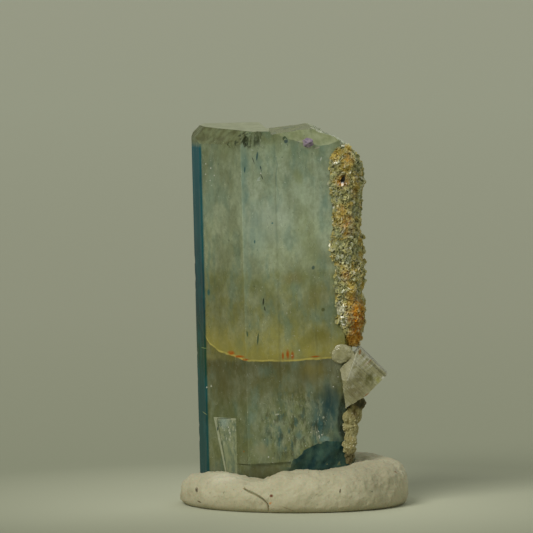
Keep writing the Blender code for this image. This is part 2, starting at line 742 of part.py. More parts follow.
def main():
    clear_scene()
    stand = bpy.data.objects.new("stand", None)
    axis = bpy.data.objects.new("crystal_axis", None)
    for empty in (stand, axis):
        bpy.context.scene.collection.objects.link(empty)
    axis.parent = stand
    axis.location = FOOT
    axis.rotation_euler = (0.0, math.radians(-LEAN_DEG), 0.0)

    blue_green = material("aquamarine", (0.17, 0.24, 0.17), 0.12, 0.4)
    gold_mica = material("muscovite_flakes", (0.28, 0.25, 0.09), 0.35)
    pale_mica = material("muscovite_sheets", (0.33, 0.33, 0.18), 0.2, 0.3)
    rock = material("sugary_matrix", (0.22, 0.2, 0.1), 0.6)
    violet = material("fluorite", (0.25, 0.16, 0.3), 0.2)
    putty = material("mounting_putty", (0.42, 0.4, 0.27), 0.75)

    crystal = build_aquamarine(axis, blue_green)
    crust = build_crust(axis, gold_mica)
    book = build_book(axis, pale_mica, crust)
    matrix = build_matrix(axis, rock)
    grain = grain_mesh("fluorite_grain", axis, GRAIN_RADIUS, violet)
    ring = build_ring(stand, axis, putty)
    centre_on_floor(stand, [crystal, crust, book, matrix, grain, ring])


main()
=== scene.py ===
"""Looks of the aquamarine prism with muscovite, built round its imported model."""

import math
import random

import bmesh
import bpy
from mathutils import Euler, Matrix, Vector, noise


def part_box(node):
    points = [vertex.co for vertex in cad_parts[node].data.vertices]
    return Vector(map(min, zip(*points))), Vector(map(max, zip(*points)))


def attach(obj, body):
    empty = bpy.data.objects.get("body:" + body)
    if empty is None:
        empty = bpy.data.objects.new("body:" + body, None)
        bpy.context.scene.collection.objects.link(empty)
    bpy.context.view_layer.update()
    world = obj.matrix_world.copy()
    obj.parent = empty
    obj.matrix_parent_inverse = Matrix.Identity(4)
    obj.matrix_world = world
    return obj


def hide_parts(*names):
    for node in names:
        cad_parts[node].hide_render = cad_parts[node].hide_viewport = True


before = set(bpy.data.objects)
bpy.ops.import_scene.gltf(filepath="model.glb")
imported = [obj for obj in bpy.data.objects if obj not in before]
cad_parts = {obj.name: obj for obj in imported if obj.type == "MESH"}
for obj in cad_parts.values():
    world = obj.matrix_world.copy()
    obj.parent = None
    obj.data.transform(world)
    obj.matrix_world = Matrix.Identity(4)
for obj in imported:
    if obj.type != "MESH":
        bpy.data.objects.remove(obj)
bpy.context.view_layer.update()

MM = 0.001

# Aquamarine crystal. Blue-green beryl that grew as a free prism in a pocket: narrow faces lie
# between its six main ones, growth left fine lines along it, and its ends broke like glass.
# It is clear at its edges and hazed inside, and an old crack stained by iron crosses it.

# Each prism face is the compass angle of its normal, from -Y towards +X, and its distance
# from the long axis.
PRISM_FACES = [
    (20.0, 6.29 * MM),
    (80.0, 9.18 * MM),
    (110.0, 9.73 * MM),
    (140.0, 8.66 * MM),
    (200.0, 5.68 * MM),
    (230.0, 8.16 * MM),
    (260.0, 9.46 * MM),
    (290.0, 9.51 * MM),
    (320.0, 8.44 * MM),
]
PRISM_LENGTH = 47.3 * MM
LEAN_DEG = 1.45
# The shift that centres the whole specimen's box, and the foot of the crystal's axis.
BOX_SHIFT = Vector((0.0106, 0.0751, 0.0)) * MM
FOOT = Vector((-1.95, 0.0, 0.4)) * MM + BOX_SHIFT
CRYSTAL_TURN = Euler((0.0, math.radians(-LEAN_DEG), 0.0))
CRYSTAL = Matrix.Translation(FOOT) @ CRYSTAL_TURN.to_matrix().to_4x4()

# Growth steps: face, share of its width where the step lies, and height. Each step climbs
# back over part of the face's width.
STEP_WIDTH = 0.16
STEP_CLIMB = 0.28
GROWTH_STEPS = [
    (0, 0.335, 0.06 * MM),
    (0, 0.72, 0.05 * MM),
    (3, 0.45, 0.16 * MM),
    (4, 0.30, 0.18 * MM),
    (4, 0.66, 0.14 * MM),
    (6, 0.50, 0.08 * MM),
]
# Bevels under the top edge: face, how far below the top they start, and their rise.
TOP_BEVELS = [
    (8, 2.15 * MM, 42.0),
    (7, 1.45 * MM, 45.0),
    (6, 0.95 * MM, 45.0),
    (4, 0.35 * MM, 42.0),
]
# Breaks: centre in mm, compass angle and rise of the outward normal, size of the cutting
# slab, its cells, how deep it is hollowed, and its roughness, in mm.
FOOT_CHIP = ((5.3, -4.24, 5.4), 27.0, -18.7, 15.0, 60, 0.15, 0.4)
BREAKS = [
    ((8.4, -0.5, 45.2), 95.0, 62.0, 16.0, 64, 0.25, 0.5),
    ((5.6, -4.6, 46.0), 24.0, 44.0, 11.0, 56, 0.75, 0.35),
    ((7.27, 0.92, 46.87), 276.6, 85.1, 16.0, 64, 0.0, 0.15),
    FOOT_CHIP,
    ((-6.8, 4.4, 2.4), 225.0, -40.0, 9.0, 40, 0.2, 0.3),
    ((0.0, 0.0, 0.9), 150.0, -84.0, 34.0, 60, 0.8, 0.8),
]
# The whole top, a little tilted and etched: as a break.
ETCHED_TOP = ((0.0, 0.0, 46.86), 48.0, 86.9, 30.0, 97, 0.0, 0.02)
BREAK_GRAIN = 2.6 * MM
BREAK_RIPPLE = 0.09
RIPPLE_WIDTH = 0.55 * MM
RIPPLE_CENTRE = 0.3
# The ledge near the foot, where the front is cut back: its plan in mm, and its height.
LEDGE_PLAN = [(-5.3, -6.5), (-5.3, -12.0), (2.4, -12.0), (1.6, -5.85), (-3.6, -7.6)]
LEDGE_TOP = 5.35 * MM
# Etch pits under the top edge: centre and radii in mm.
PITS = [
    ((-5.1, -6.95, 45.2), (0.42, 0.5, 0.55)),
    ((-4.1, -7.4, 46.0), (0.5, 0.5, 0.5)),
    ((-3.0, -7.7, 45.5), (0.45, 0.5, 0.75)),
    ((-3.7, -7.1, 46.75), (0.35, 0.4, 0.3)),
    ((-1.4, -7.1, 46.1), (0.35, 0.35, 0.9)),
    ((1.9, -6.0, 45.6), (0.35, 0.35, 0.35)),
]
# The cleaved sliver on the left front face: across it and up, in mm.
SLIVER_PLAN = [(-1.7, 10.9), (0.6, 11.0), (1.15, 9.8), (1.2, 7.0), (1.15, 4.2), (-0.3, 4.2), (-1.1, 8.2)]
SLIVER_DEPTH = 0.12 * MM
WALL_STEP = 0.14 * MM
LEVEL_STEP = 0.36 * MM
WALL_MARGIN = 1.0 * MM
# Growth lines: how many to a millimetre across and along the crystal, fine and broad ones, and
# how close to an edge they fade.
STRIATION_DEPTH = 0.022 * MM
STRIATION_FINE = (2.6, 0.07)
STRIATION_BROAD = (0.7, 0.03)
STRIATION_FADE = 0.25 * MM
# Nicks knocked out of the edges: depth, reach, and how rare they are.
EDGE_NICK = 0.22 * MM
NICK_REACH = 0.3 * MM
NICK_RARITY = 0.35


def outline(gap):
    """Corners of the prism's cross-section, each the meeting of a face with the one before."""
    corners = []
    for index, (angle, distance) in enumerate(PRISM_FACES):
        before_angle, before_distance = PRISM_FACES[index - 1]
        a = math.radians(before_angle)
        b = math.radians(angle)
        rows = Matrix(((math.sin(a), -math.cos(a)), (math.sin(b), -math.cos(b))))
        corners.append(rows.inverted() @ Vector((before_distance + gap, distance + gap)))
    return corners


def compass(angle_deg, rise_deg=0.0):
    """Unit vector at a compass angle, from -Y towards +X, and so many degrees upwards."""
    a = math.radians(angle_deg)
    r = math.radians(rise_deg)
    return Vector((math.sin(a) * math.cos(r), -math.cos(a) * math.cos(r), math.sin(r)))


def roughness_at(spot, octaves=4):
    """Noise of several octaves, about -1 to 1."""
    return noise.fractal(spot, 0.9, 2.1, octaves)


def add_object(name, bm, mat=None):
    bmesh.ops.recalc_face_normals(bm, faces=bm.faces)
    mesh = bpy.data.meshes.new(name)
    bm.to_mesh(mesh)
    bm.free()
    obj = bpy.data.objects.new(name, mesh)
    bpy.context.scene.collection.objects.link(obj)
    if mat:
        mesh.materials.append(mat)
    return obj


def bake_modifiers(obj):
    """Turns what the object's modifiers make into its plain mesh."""
    bpy.context.view_layer.update()
    depsgraph = bpy.context.evaluated_depsgraph_get()
    mesh = bpy.data.meshes.new_from_object(obj.evaluated_get(depsgraph))
    obj.modifiers.clear()
    old = obj.data
    mesh.name = old.name
    obj.data = mesh
    bpy.data.meshes.remove(old)


def carve(target, cutters, operation="DIFFERENCE"):
    """Cuts or joins other objects into the target, and removes them."""
    for cutter in cutters:
        modifier = target.modifiers.new("carve", "BOOLEAN")
        modifier.operation = operation
        modifier.object = cutter
    bake_modifiers(target)
    for cutter in cutters:
        bpy.data.objects.remove(cutter, do_unlink=True)


def crisp_edges(obj, angle_deg):
    """Smooth shading, with every edge sharper than the angle kept crisp."""
    bm = bmesh.new()
    bm.from_mesh(obj.data)
    for face in bm.faces:
        face.smooth = True
    for edge in bm.edges:
        edge.smooth = len(edge.link_faces) == 2 and edge.calc_face_angle(0.0) < math.radians(angle_deg)
    bm.to_mesh(obj.data)
    bm.free()


def keep_largest(obj):
    """Drops the crumbs that a cut leaves beside the main body."""
    bm = bmesh.new()
    bm.from_mesh(obj.data)
    bodies = []
    seen = set()
    for first in bm.verts:
        if first in seen:
            continue
        body = []
        queue = [first]
        seen.add(first)
        while queue:
            vert = queue.pop()
            body.append(vert)
            for edge in vert.link_edges:
                other = edge.other_vert(vert)
                if other not in seen:
                    seen.add(other)
                    queue.append(other)
        bodies.append(body)
    bodies.sort(key=len, reverse=True)
    for body in bodies[1:]:
        bmesh.ops.delete(bm, geom=body, context="VERTS")
    bm.to_mesh(obj.data)
    bm.free()


def stitch(bm, loops):
    """Joins each ring of points to the next with four-sided faces."""
    for first, second in zip(loops, loops[1:]):
        count = len(first)
        for i in range(count):
            j = (i + 1) % count
            bm.faces.new((first[i], first[j], second[j], second[i]))


def wall_points():
    """Points round the cross-section: place, outward direction, and distance to a corner."""
    corners = outline(0.0)
    points = []
    for index, (angle, _) in enumerate(PRISM_FACES):
        start = corners[index]
        end = corners[(index + 1) % len(corners)]
        width = (end - start).length
        outward = Vector((math.sin(math.radians(angle)), -math.cos(math.radians(angle))))
        steps = [step for step in GROWTH_STEPS if step[0] == index]
        count = max(4, round(width / WALL_STEP))
        for i in range(count):
            share = i / count
            sunk = 0.0
            for _, place, height in steps:
                if place <= share < place + STEP_WIDTH:
                    sunk += height * (1.0 - (share - place) / STEP_CLIMB)
            edge = min(share, 1.0 - share) * width
            points.append((start.lerp(end, share) - outward * sunk, outward, edge))
    return points


def build_walls():
    """The prism's walls, with their growth lines and the nicks along their edges."""
    points = wall_points()
    tall = PRISM_LENGTH + 2.0 * WALL_MARGIN
    levels = round(tall / LEVEL_STEP)
    bm = bmesh.new()
    loops = []
    for level in range(levels + 1):
        z = -WALL_MARGIN + tall * level / levels
        loop = []
        for place, outward, edge in points:
            spot = Vector((place.x, place.y, z)) / MM
            across, along = STRIATION_FINE
            fine = noise.noise(Vector((spot.x * across, spot.y * across, spot.z * along)))
            across, along = STRIATION_BROAD
            broad = noise.noise(Vector((spot.x * across, spot.y * across, spot.z * along + 9.0)))
            lines = min(1.0, edge / STRIATION_FADE) * STRIATION_DEPTH * (fine + 1.2 * broad)
            chip = max(0.0, roughness_at(Vector((spot.x, spot.y, spot.z * 1.3 + 40.0))) - NICK_RARITY)
            nick = EDGE_NICK * chip * max(0.0, 1.0 - edge / NICK_REACH)
            skin = place + outward * (lines - nick)
            loop.append(bm.verts.new((skin.x, skin.y, z)))
        loops.append(loop)
    stitch(bm, loops)
    bm.faces.new(loops[0])
    bm.faces.new(loops[-1])
    return bm


def shave(bm, point, normal):
    """Cuts a flat face: everything beyond the plane goes."""
    geometry = bm.verts[:] + bm.edges[:] + bm.faces[:]
    cut = bmesh.ops.bisect_plane(bm, geom=geometry, plane_co=point, plane_no=normal, clear_outer=True)
    edges = [item for item in cut["geom_cut"] if isinstance(item, bmesh.types.BMEdge)]
    bmesh.ops.contextual_create(bm, geom=edges)


def break_slab(centre, angle, rise, size, cells, bow, rough):
    """Slab that removes stone along a shell-like break, with ripples in it."""
    normal = compass(angle, rise)
    centre = Vector(centre) * MM
    size = size * MM
    across = Vector((0.0, 0.0, 1.0)).cross(normal).normalized()
    along = normal.cross(across)
    bm = bmesh.new()
    face = []
    for i in range(cells + 1):
        row = []
        for j in range(cells + 1):
            u = (i / cells - 0.5) * size
            v = (j / cells - 0.5) * size
            share = (u * u + v * v) / (size * size * 0.25)
            place = centre + across * u + along * v
            spot = place / BREAK_GRAIN
            depth = bow * MM * (1.0 - share) - rough * MM * noise.noise(spot)
            depth -= rough * BREAK_RIPPLE * 3.0 * MM * roughness_at(spot * 4.0)
            ring = (place - centre - across * size * RIPPLE_CENTRE).length / RIPPLE_WIDTH
            depth -= rough * BREAK_RIPPLE * MM * abs(math.sin(ring + 2.0 * noise.noise(spot)))
            row.append(bm.verts.new(place - normal * depth))
        face.append(row)
    for i in range(cells):
        for j in range(cells):
            bm.faces.new((face[i][j], face[i + 1][j], face[i + 1][j + 1], face[i][j + 1]))
    rim = [edge for edge in bm.edges if edge.is_boundary]
    grown = bmesh.ops.extrude_edge_only(bm, edges=rim)
    raised = [item for item in grown["geom"] if isinstance(item, bmesh.types.BMVert)]
    for vert in raised:
        vert.co += normal * (size - (vert.co - centre).dot(normal))
    lid = [item for item in grown["geom"] if isinstance(item, bmesh.types.BMEdge)]
    bmesh.ops.contextual_create(bm, geom=lid)
    bmesh.ops.triangulate(bm, faces=bm.faces)
    return add_object("slab", bm)


def extrude_outline(points, bottom, top):
    bm = bmesh.new()
    lower = [bm.verts.new((p.x, p.y, bottom)) for p in points]
    upper = [bm.verts.new((p.x, p.y, top)) for p in points]
    bm.faces.new(lower)
    bm.faces.new(upper)
    stitch(bm, [lower, upper])
    return bm


BALL_GRAIN = 1.7
BALL_SEED_STEP = Vector((3.1, 1.7, 2.3))


def rough_ball(centre, radii, rough, seed, subdivisions):
    """Lumpy ball, sizes in mm."""
    bm = bmesh.new()
    bmesh.ops.create_icosphere(bm, subdivisions=subdivisions, radius=1.0)
    for vert in bm.verts:
        spot = vert.co * BALL_GRAIN + BALL_SEED_STEP * seed
        swell = 1.0 + rough * noise.noise(spot) + 0.25 * rough * noise.noise(spot * 3.0)
        vert.co = Vector([(c * r + p) * MM for c, r, p in zip(vert.co * swell, radii, centre)])
    return add_object("ball", bm)


def sliver_room():
    """The shallow bed of the cleaved sliver, sunk a little into the left front face."""
    corners = outline(0.0)
    outward = compass(PRISM_FACES[8][0])
    rise = Vector((0.0, 0.0, 1.0))
    run = rise.cross(outward).normalized()
    middle = corners[8].lerp(corners[0], 0.5)
    floor = [Vector((*middle, z * MM)) + run * u * MM - outward * SLIVER_DEPTH for u, z in SLIVER_PLAN]
    bm = bmesh.new()
    inner = [bm.verts.new(p) for p in floor]
    outer = [bm.verts.new(p + outward * MM) for p in floor]
    bm.faces.new(inner)
    bm.faces.new(outer)
    stitch(bm, [inner, outer])
    return add_object("sliver", bm)


def linear(code):
    """An sRGB hex colour as linear values with full alpha."""
    levels = [int(code[i : i + 2], 16) / 255.0 for i in (1, 3, 5)]
    return (*[v / 12.92 if v <= 0.04045 else ((v + 0.055) / 1.055) ** 2.4 for v in levels], 1.0)


def new_material(name):
    mat = bpy.data.materials.new(name)
    mat.use_nodes = True
    return mat, mat.node_tree, mat.node_tree.nodes["Principled BSDF"]


def add_node(tree, kind, links=None, **settings):
    """Adds a node, with its settings and what its inputs hold or are linked to."""
    made = tree.nodes.new(kind)
    for key, value in settings.items():
        setattr(made, key, value)
    for key, value in (links or {}).items():
        if isinstance(value, bpy.types.NodeSocket):
            tree.links.new(value, made.inputs[key])
        else:
            made.inputs[key].default_value = value
    return made


def crystal_mm(tree):
    """Object coordinates turned to the crystal's own axes, in millimetres."""
    place = add_node(tree, "ShaderNodeTexCoord")
    turned = add_node(
        tree,
        "ShaderNodeMapping",
        {
            "Vector": place.outputs["Object"],
            "Location": FOOT,
            "Rotation": CRYSTAL_TURN,
            "Scale": (MM, MM, MM),
        },
        vector_type="TEXTURE",
    )
    return turned.outputs["Vector"]


def patch(tree, coords, centre, radii, soft, turn=(0.0, 0.0, 0.0)):
    """1 inside an ellipsoid in the crystal, falling to 0 over its soft share."""
    angles = [math.radians(t) for t in turn]
    local = add_node(
        tree,
        "ShaderNodeMapping",
        {"Vector": coords, "Location": centre, "Scale": radii, "Rotation": angles},
        vector_type="TEXTURE",
    )
    far = add_node(tree, "ShaderNodeVectorMath", {0: local.outputs[0]}, operation="LENGTH").outputs["Value"]
    fall = add_node(
        tree,
        "ShaderNodeMapRange",
        {"Value": far, "From Min": 1.0 - soft, "From Max": 1.0, "To Min": 1.0, "To Max": 0.0},
        interpolation_type="SMOOTHSTEP",
    )
    return fall.outputs["Result"]


def mix(tree, factor, first, second, blend="MIX"):
    """Mixes two colours by a factor; hex codes are turned to linear."""
    made = add_node(tree, "ShaderNodeMix", data_type="RGBA", blend_type=blend)
    for socket, value in ((made.inputs[0], factor), (made.inputs[6], first), (made.inputs[7], second)):
        if isinstance(value, str):
            value = linear(value)
        if isinstance(value, bpy.types.NodeSocket):
            tree.links.new(value, socket)
        else:
            socket.default_value = value
    return made.outputs[2]


def calc(tree, operation, first, second=0.0, third=0.0):
    """One number worked out from others."""
    made = add_node(tree, "ShaderNodeMath", {0: first, 1: second, 2: third}, operation=operation)
    return made.outputs[0]


def product(tree, first, *others):
    """Several numbers multiplied."""
    for other in others:
        first = calc(tree, "MULTIPLY", first, other)
    return first


def tint(tree, base, colour, *shares):
    """Lays a colour over another one by the product of the shares."""
    return mix(tree, product(tree, *shares), base, colour)


def speckle(
    tree, coords, scale, stretch=(1.0, 1.0, 1.0), detail=4.0, low=0.35, high=0.65, shift=(0.0, 0.0, 0.0)
):
    """Cloudy noise spread between 0 and 1; scale is in features per millimetre."""
    spread = add_node(tree, "ShaderNodeMapping", {"Vector": coords, "Scale": stretch, "Location": shift})
    cloud = add_node(
        tree,
        "ShaderNodeTexNoise",
        {"Vector": spread.outputs[0], "Scale": scale, "Detail": detail, "Roughness": 0.6},
    )
    fall = add_node(
        tree, "ShaderNodeMapRange", {"Value": cloud.outputs["Fac"], "From Min": low, "From Max": high}
    )
    return fall.outputs["Result"]


def veils(tree, coords, base, layers, *masks):
    """Lays the speckles of a list over a colour, inside the masks."""
    for scale, stretch, detail, low, high, shift, colour, share in layers:
        grain = speckle(tree, coords, scale, stretch, detail, low, high, shift)
        base = tint(tree, base, colour, *masks, grain, share)
    return base


def any_patch(tree, coords, places, soft):
    """1 inside any of several ellipsoids in the crystal."""
    found = 0.0
    for centre, radii in places:
        found = calc(tree, "MAXIMUM", found, patch(tree, coords, centre, radii, soft))
    return found


def ramp(tree, factor, stops, interpolation="LINEAR"):
    """Colours along a factor from 0 to 1: (place, hex code)."""
    made = add_node(tree, "ShaderNodeValToRGB", {0: factor})
    made.color_ramp.interpolation = interpolation
    entries = made.color_ramp.elements
    while len(entries) < len(stops):
        entries.new(1.0)
    for entry, (place, code) in zip(entries, stops):
        entry.position = place
        entry.color = linear(code)
    return made.outputs["Color"]


# Places and sizes in the crystal's colours are in mm, in the crystal's own axes.
HAZE_SPAN = 47.0
WOBBLE = 1.6
# Height, and the colour the haze inside the crystal gives there.
HAZE = [
    (3.0, "#868C64"),
    (6.3, "#A8AF7E"),
    (10.8, "#9CA679"),
    (15.0, "#918F5E"),
    (17.9, "#8A8454"),
    (18.6, "#CFC468"),
    # From here, just above the crack, the bright yellow is painted reflection of the crack.
    (20.7, "#C8C276"),
    (25.0, "#BABA7E"),
    (28.5, "#B8BE88"),
    (30.0, "#D8E2BE"),
    (34.0, "#ECFADC"),
    (37.0, "#E6F5DC"),
    (41.0, "#D4E3C8"),
    (44.5, "#C8D8B8"),
    (45.6, "#AEB88E"),
]
# Veils of fluid pockets, streaks and dust, and a fine speckle of painted glints: features to a millimetre,
# stretch, detail, low and high end of the noise, shift, colour and share.
VEILS = [
    (0.9, (1.0, 1.0, 0.1), 6.0, 0.34, 0.66, (0.0, 0.0, 0.0), "#74866A", 0.14),
    (0.7, (1.0, 1.0, 0.6), 9.0, 0.42, 0.62, (7.0, 3.0, 0.0), "#E2EEDC", 0.34),
    (0.42, (1.0, 1.0, 0.65), 9.0, 0.44, 0.6, (3.0, 1.0, 5.0), "#7F8656", 0.42),
    (0.6, (1.0, 1.0, 0.45), 9.0, 0.5, 0.64, (1.0, 8.0, 2.0), "#7BA6A0", 0.4),
    (2.6, (1.0, 1.0, 0.8), 7.0, 0.42, 0.6, (2.0, 2.0, 9.0), "#5F7052", 0.2),
    # The next, fine near-white speckle is painted glints.
    (4.2, (1.0, 1.0, 0.8), 2.0, 0.68, 0.74, (5.0, 0.0, 3.0), "#F4FAF0", 0.7),
    (3.0, (1.0, 1.0, 0.6), 4.0, 0.66, 0.72, (0.0, 4.0, 6.0), "#3F5546", 0.55),
]
# Low down the crystal is full of cracks and grains, from milky to nearly black.
MURK = [
    (1.5, (1.0, 1.0, 0.45), 8.0, 0.5, 0.6, (1.0, 0.0, 0.0), "#4C5034", 0.6),
    (1.7, (1.0, 1.0, 0.45), 8.0, 0.52, 0.62, (0.0, 6.0, 0.0), "#CFD2B2", 0.45),
    (1.6, (1.0, 1.0, 0.45), 8.0, 0.55, 0.64, (0.0, 0.0, 4.0), "#4F7C80", 0.6),
    (3.6, (1.0, 1.0, 0.45), 8.0, 0.6, 0.68, (3.0, 3.0, 0.0), "#E6EADA", 0.6),
]
MURKY_ROOM = ((2.6, -6.0, 9.6), (6.6, 4.0, 6.0), 0.5)
# The edge between the left front face and the centre one: where the painted shade on the left face starts,
# and the thin blue line along it.
FRONT_EDGE_X = -3.6
FRONT_EDGE_SOFT = 0.125
BLUE_EDGE_X = -3.5
BLUE_EDGE_Y = -6.0
BLUE_EDGE_HALF = (0.22, 0.05)
BLUE_EDGE_SHARE = 0.3
# The saturated band on the narrow left faces, by share of the height, and where it fades.
BLUE_BAND = [
    (0.0, "#00444A"),
    (0.3, "#00484C"),
    (0.4, "#144634"),
    (0.52, "#003A46"),
    (0.8, "#00505E"),
    (1.0, "#005A6C"),
]
BAND_VEILS = [(0.6, (1.0, 1.0, 0.45), 9.0, 0.5, 0.64, (1.0, 8.0, 2.0), "#1C7078", 0.25)]
BAND_SLANT = -0.09
BAND_RIM = (8.78, 8.98)
BAND_BACK = (3.6, 0.5)
BAND_TOP = (45.4, 44.6)
# The broken corner at the foot: how its upper rim climbs to the right, and its left end.
CHIP_SLOPE = 0.42
CHIP_RIM = 5.3
CHIP_LEFT = (0.3, 2.2)
# The cleaved sliver: its sides, top and front, the width of the painted highlights along its left rim and
# top lip, and the crushed stone in its upper part.
SLIVER_SLANT = 0.19
SLIVER_LEFT = -5.79
SLIVER_RIGHT = -5.08
SLIVER_TOP = 11.0
SLIVER_FRONT = -3.0
SLIVER_RIM_HIGHLIGHT = 0.24
SLIVER_LIP_HIGHLIGHT = 0.25
SLIVER_TIP = ((-6.6, -5.4, 10.6), (1.1, 1.4, 1.5), 0.9)
CRUSHED_FROM = 6.6
CRUSHED_TO = 8.4
CRUSHED = [
    (3.2, (1.0, 1.0, 0.6), 5.0, 0.55, 0.62, (1.0, 7.0, 3.0), "#E6E8D2", 0.75),
    (2.6, (1.0, 1.0, 0.6), 5.0, 0.58, 0.66, (6.0, 1.0, 2.0), "#4E665C", 0.7),
]
# The top: how level and how high a face is to be frosted, where the frost with its painted pale reflection
# gives way to the olive right half, where the dark bevels end, and the corroded stone at the front.
LEVEL_LEAN = 0.985
LEVEL_FROM = 44.0
CROWN_X = -0.1
BEVEL_X = -3.0
PITTED_ROOM = ((-2.7, -7.4, 45.75), (2.9, 1.8, 1.35), 0.5)
# Painted glints: their radius in cells, and the share of cells that get one.
GLINT_RADIUS = 0.17
GLINT_SHARE = 0.45
# Transmission where the beryl is clearest and where its blue zones are dense.
CLEAREST = 0.42
DENSEST = 0.04
DENSE_ROOM = ((6.4, -4.4, 10.2), (3.0, 3.0, 4.6), 0.8)
BERYL_IOR = 1.577
# The crack's height along X: it climbs steeply at the left edge.
CRACK = [
    (-9.8, 23.6),
    (-8.9, 21.6),
    (-8.1, 20.2),
    (-7.0, 19.35),
    (-5.2, 18.85),
    (-3.4, 18.3),
    (-1.7, 18.15),
    (1.8, 17.98),
    (9.0, 18.1),
]
CRACK_CURVE_LOW = 17.0
CRACK_CURVE_SPAN = 10.0
CRACK_JAG = 0.35
CRACK_JAG_MIDDLE = 0.17
CRACK_HALF = (0.17, 0.05)
# How far the painted yellow reflection of the crack reaches above it, and the darker tint below it.
REFLECTION_REACH = 4.2
SHADE_REACH = 5.5
# Blue growth zones and clouds near the surface: centre, radii, soft share, colour, strength.
CLOUDS = [
    ((6.0, -4.5, 10.6), (3.3, 3.2, 5.0), 0.7, "#3C6066", 0.9),
    ((6.6, -4.3, 12.6), (1.6, 2.2, 2.6), 0.8, "#2C4E56", 0.8),
    ((5.2, -4.8, 9.4), (1.2, 1.6, 1.7), 0.7, "#12383F", 0.95),
    ((7.4, -4.0, 7.2), (1.2, 1.6, 1.4), 0.8, "#1D4650", 0.8),
    ((5.9, -4.6, 7.7), (1.0, 1.4, 0.6), 0.6, "#8FB6B8", 0.7),
    ((8.3, -3.7, 10.4), (0.95, 1.8, 3.8), 0.45, "#0F201E", 1.0),
    ((0.5, -6.6, 8.5), (0.7, 1.0, 0.8), 0.8, "#2F5560", 0.85),
    ((2.7, -5.7, 8.7), (0.8, 1.0, 1.0), 0.8, "#6A9296", 0.75),
    ((-1.2, -7.2, 9.3), (0.9, 1.0, 0.8), 0.9, "#55706A", 0.7),
    ((-2.1, -7.4, 7.2), (1.3, 1.2, 1.3), 0.8, "#C9C6A0", 0.55),
    ((-0.2, -6.8, 35.4), (4.4, 4.0, 4.2), 0.95, "#DCEBE0", 0.6),
    ((-1.9, -7.4, 33.4), (2.0, 1.4, 4.4), 0.9, "#A9C8C2", 0.5),
    ((-3.1, -7.8, 39.5), (0.55, 1.2, 7.6), 0.8, "#7FAAA8", 0.5),
    ((-3.2, -7.8, 30.0), (0.45, 1.2, 6.0), 0.8, "#8FB0A4", 0.45),
    ((3.4, -5.4, 40.6), (0.7, 1.0, 1.5), 0.9, "#98A468", 0.75),
    ((6.9, -4.2, 37.4), (0.5, 1.0, 2.2), 0.9, "#9CC2BA", 0.55),
    ((2.4, -5.8, 28.2), (2.4, 1.6, 1.2), 0.9, "#A79A62", 0.6),
    ((4.6, -5.0, 25.0), (2.4, 1.6, 1.6), 0.9, "#A89E60", 0.4),
    ((5.6, -4.7, 26.2), (2.6, 1.6, 1.8), 0.9, "#98925A", 0.55),
    ((4.4, -5.1, 33.6), (2.4, 1.8, 6.0), 0.9, "#A4AA6C", 0.5),
    ((5.4, -4.8, 20.6), (3.0, 1.6, 1.9), 0.9, "#857F38", 0.9),
    ((4.4, -5.0, 16.6), (3.0, 1.6, 1.8), 0.9, "#C8B866", 0.75),
    ((4.8, -5.1, 44.85), (1.1, 1.4, 0.75), 0.9, "#C9CBB4", 0.7),
    ((-1.4, -7.2, 4.3), (3.4, 1.6, 0.95), 0.3, "#76734E", 0.6),
    ((-7.6, -4.7, 39.0), (0.9, 1.6, 6.5), 0.9, "#8FAE9E", 0.5),
    ((-5.7, -6.2, 44.0), (1.6, 1.6, 1.6), 0.9, "#8A8E62", 0.5),
    ((-6.5, -5.6, 15.6), (2.4, 1.8, 3.4), 0.9, "#6E6A3C", 0.8),
    ((4.0, -5.2, 16.0), (3.4, 1.8, 2.0), 0.9, "#75704A", 0.6),
    ((-3.4, -7.9, 43.2), (0.6, 1.2, 1.8), 0.9, "#6F9C9A", 0.55),
    ((-1.4, -7.2, 42.8), (0.9, 1.2, 2.0), 0.9, "#8FAFA6", 0.6),
    ((0.75, -6.5, 40.5), (0.14, 1.0, 5.0), 0.8, "#7C9A96", 0.6),
    ((-8.2, -4.2, 30.0), (0.35, 1.2, 7.0), 0.9, "#6E9488", 0.6),
]
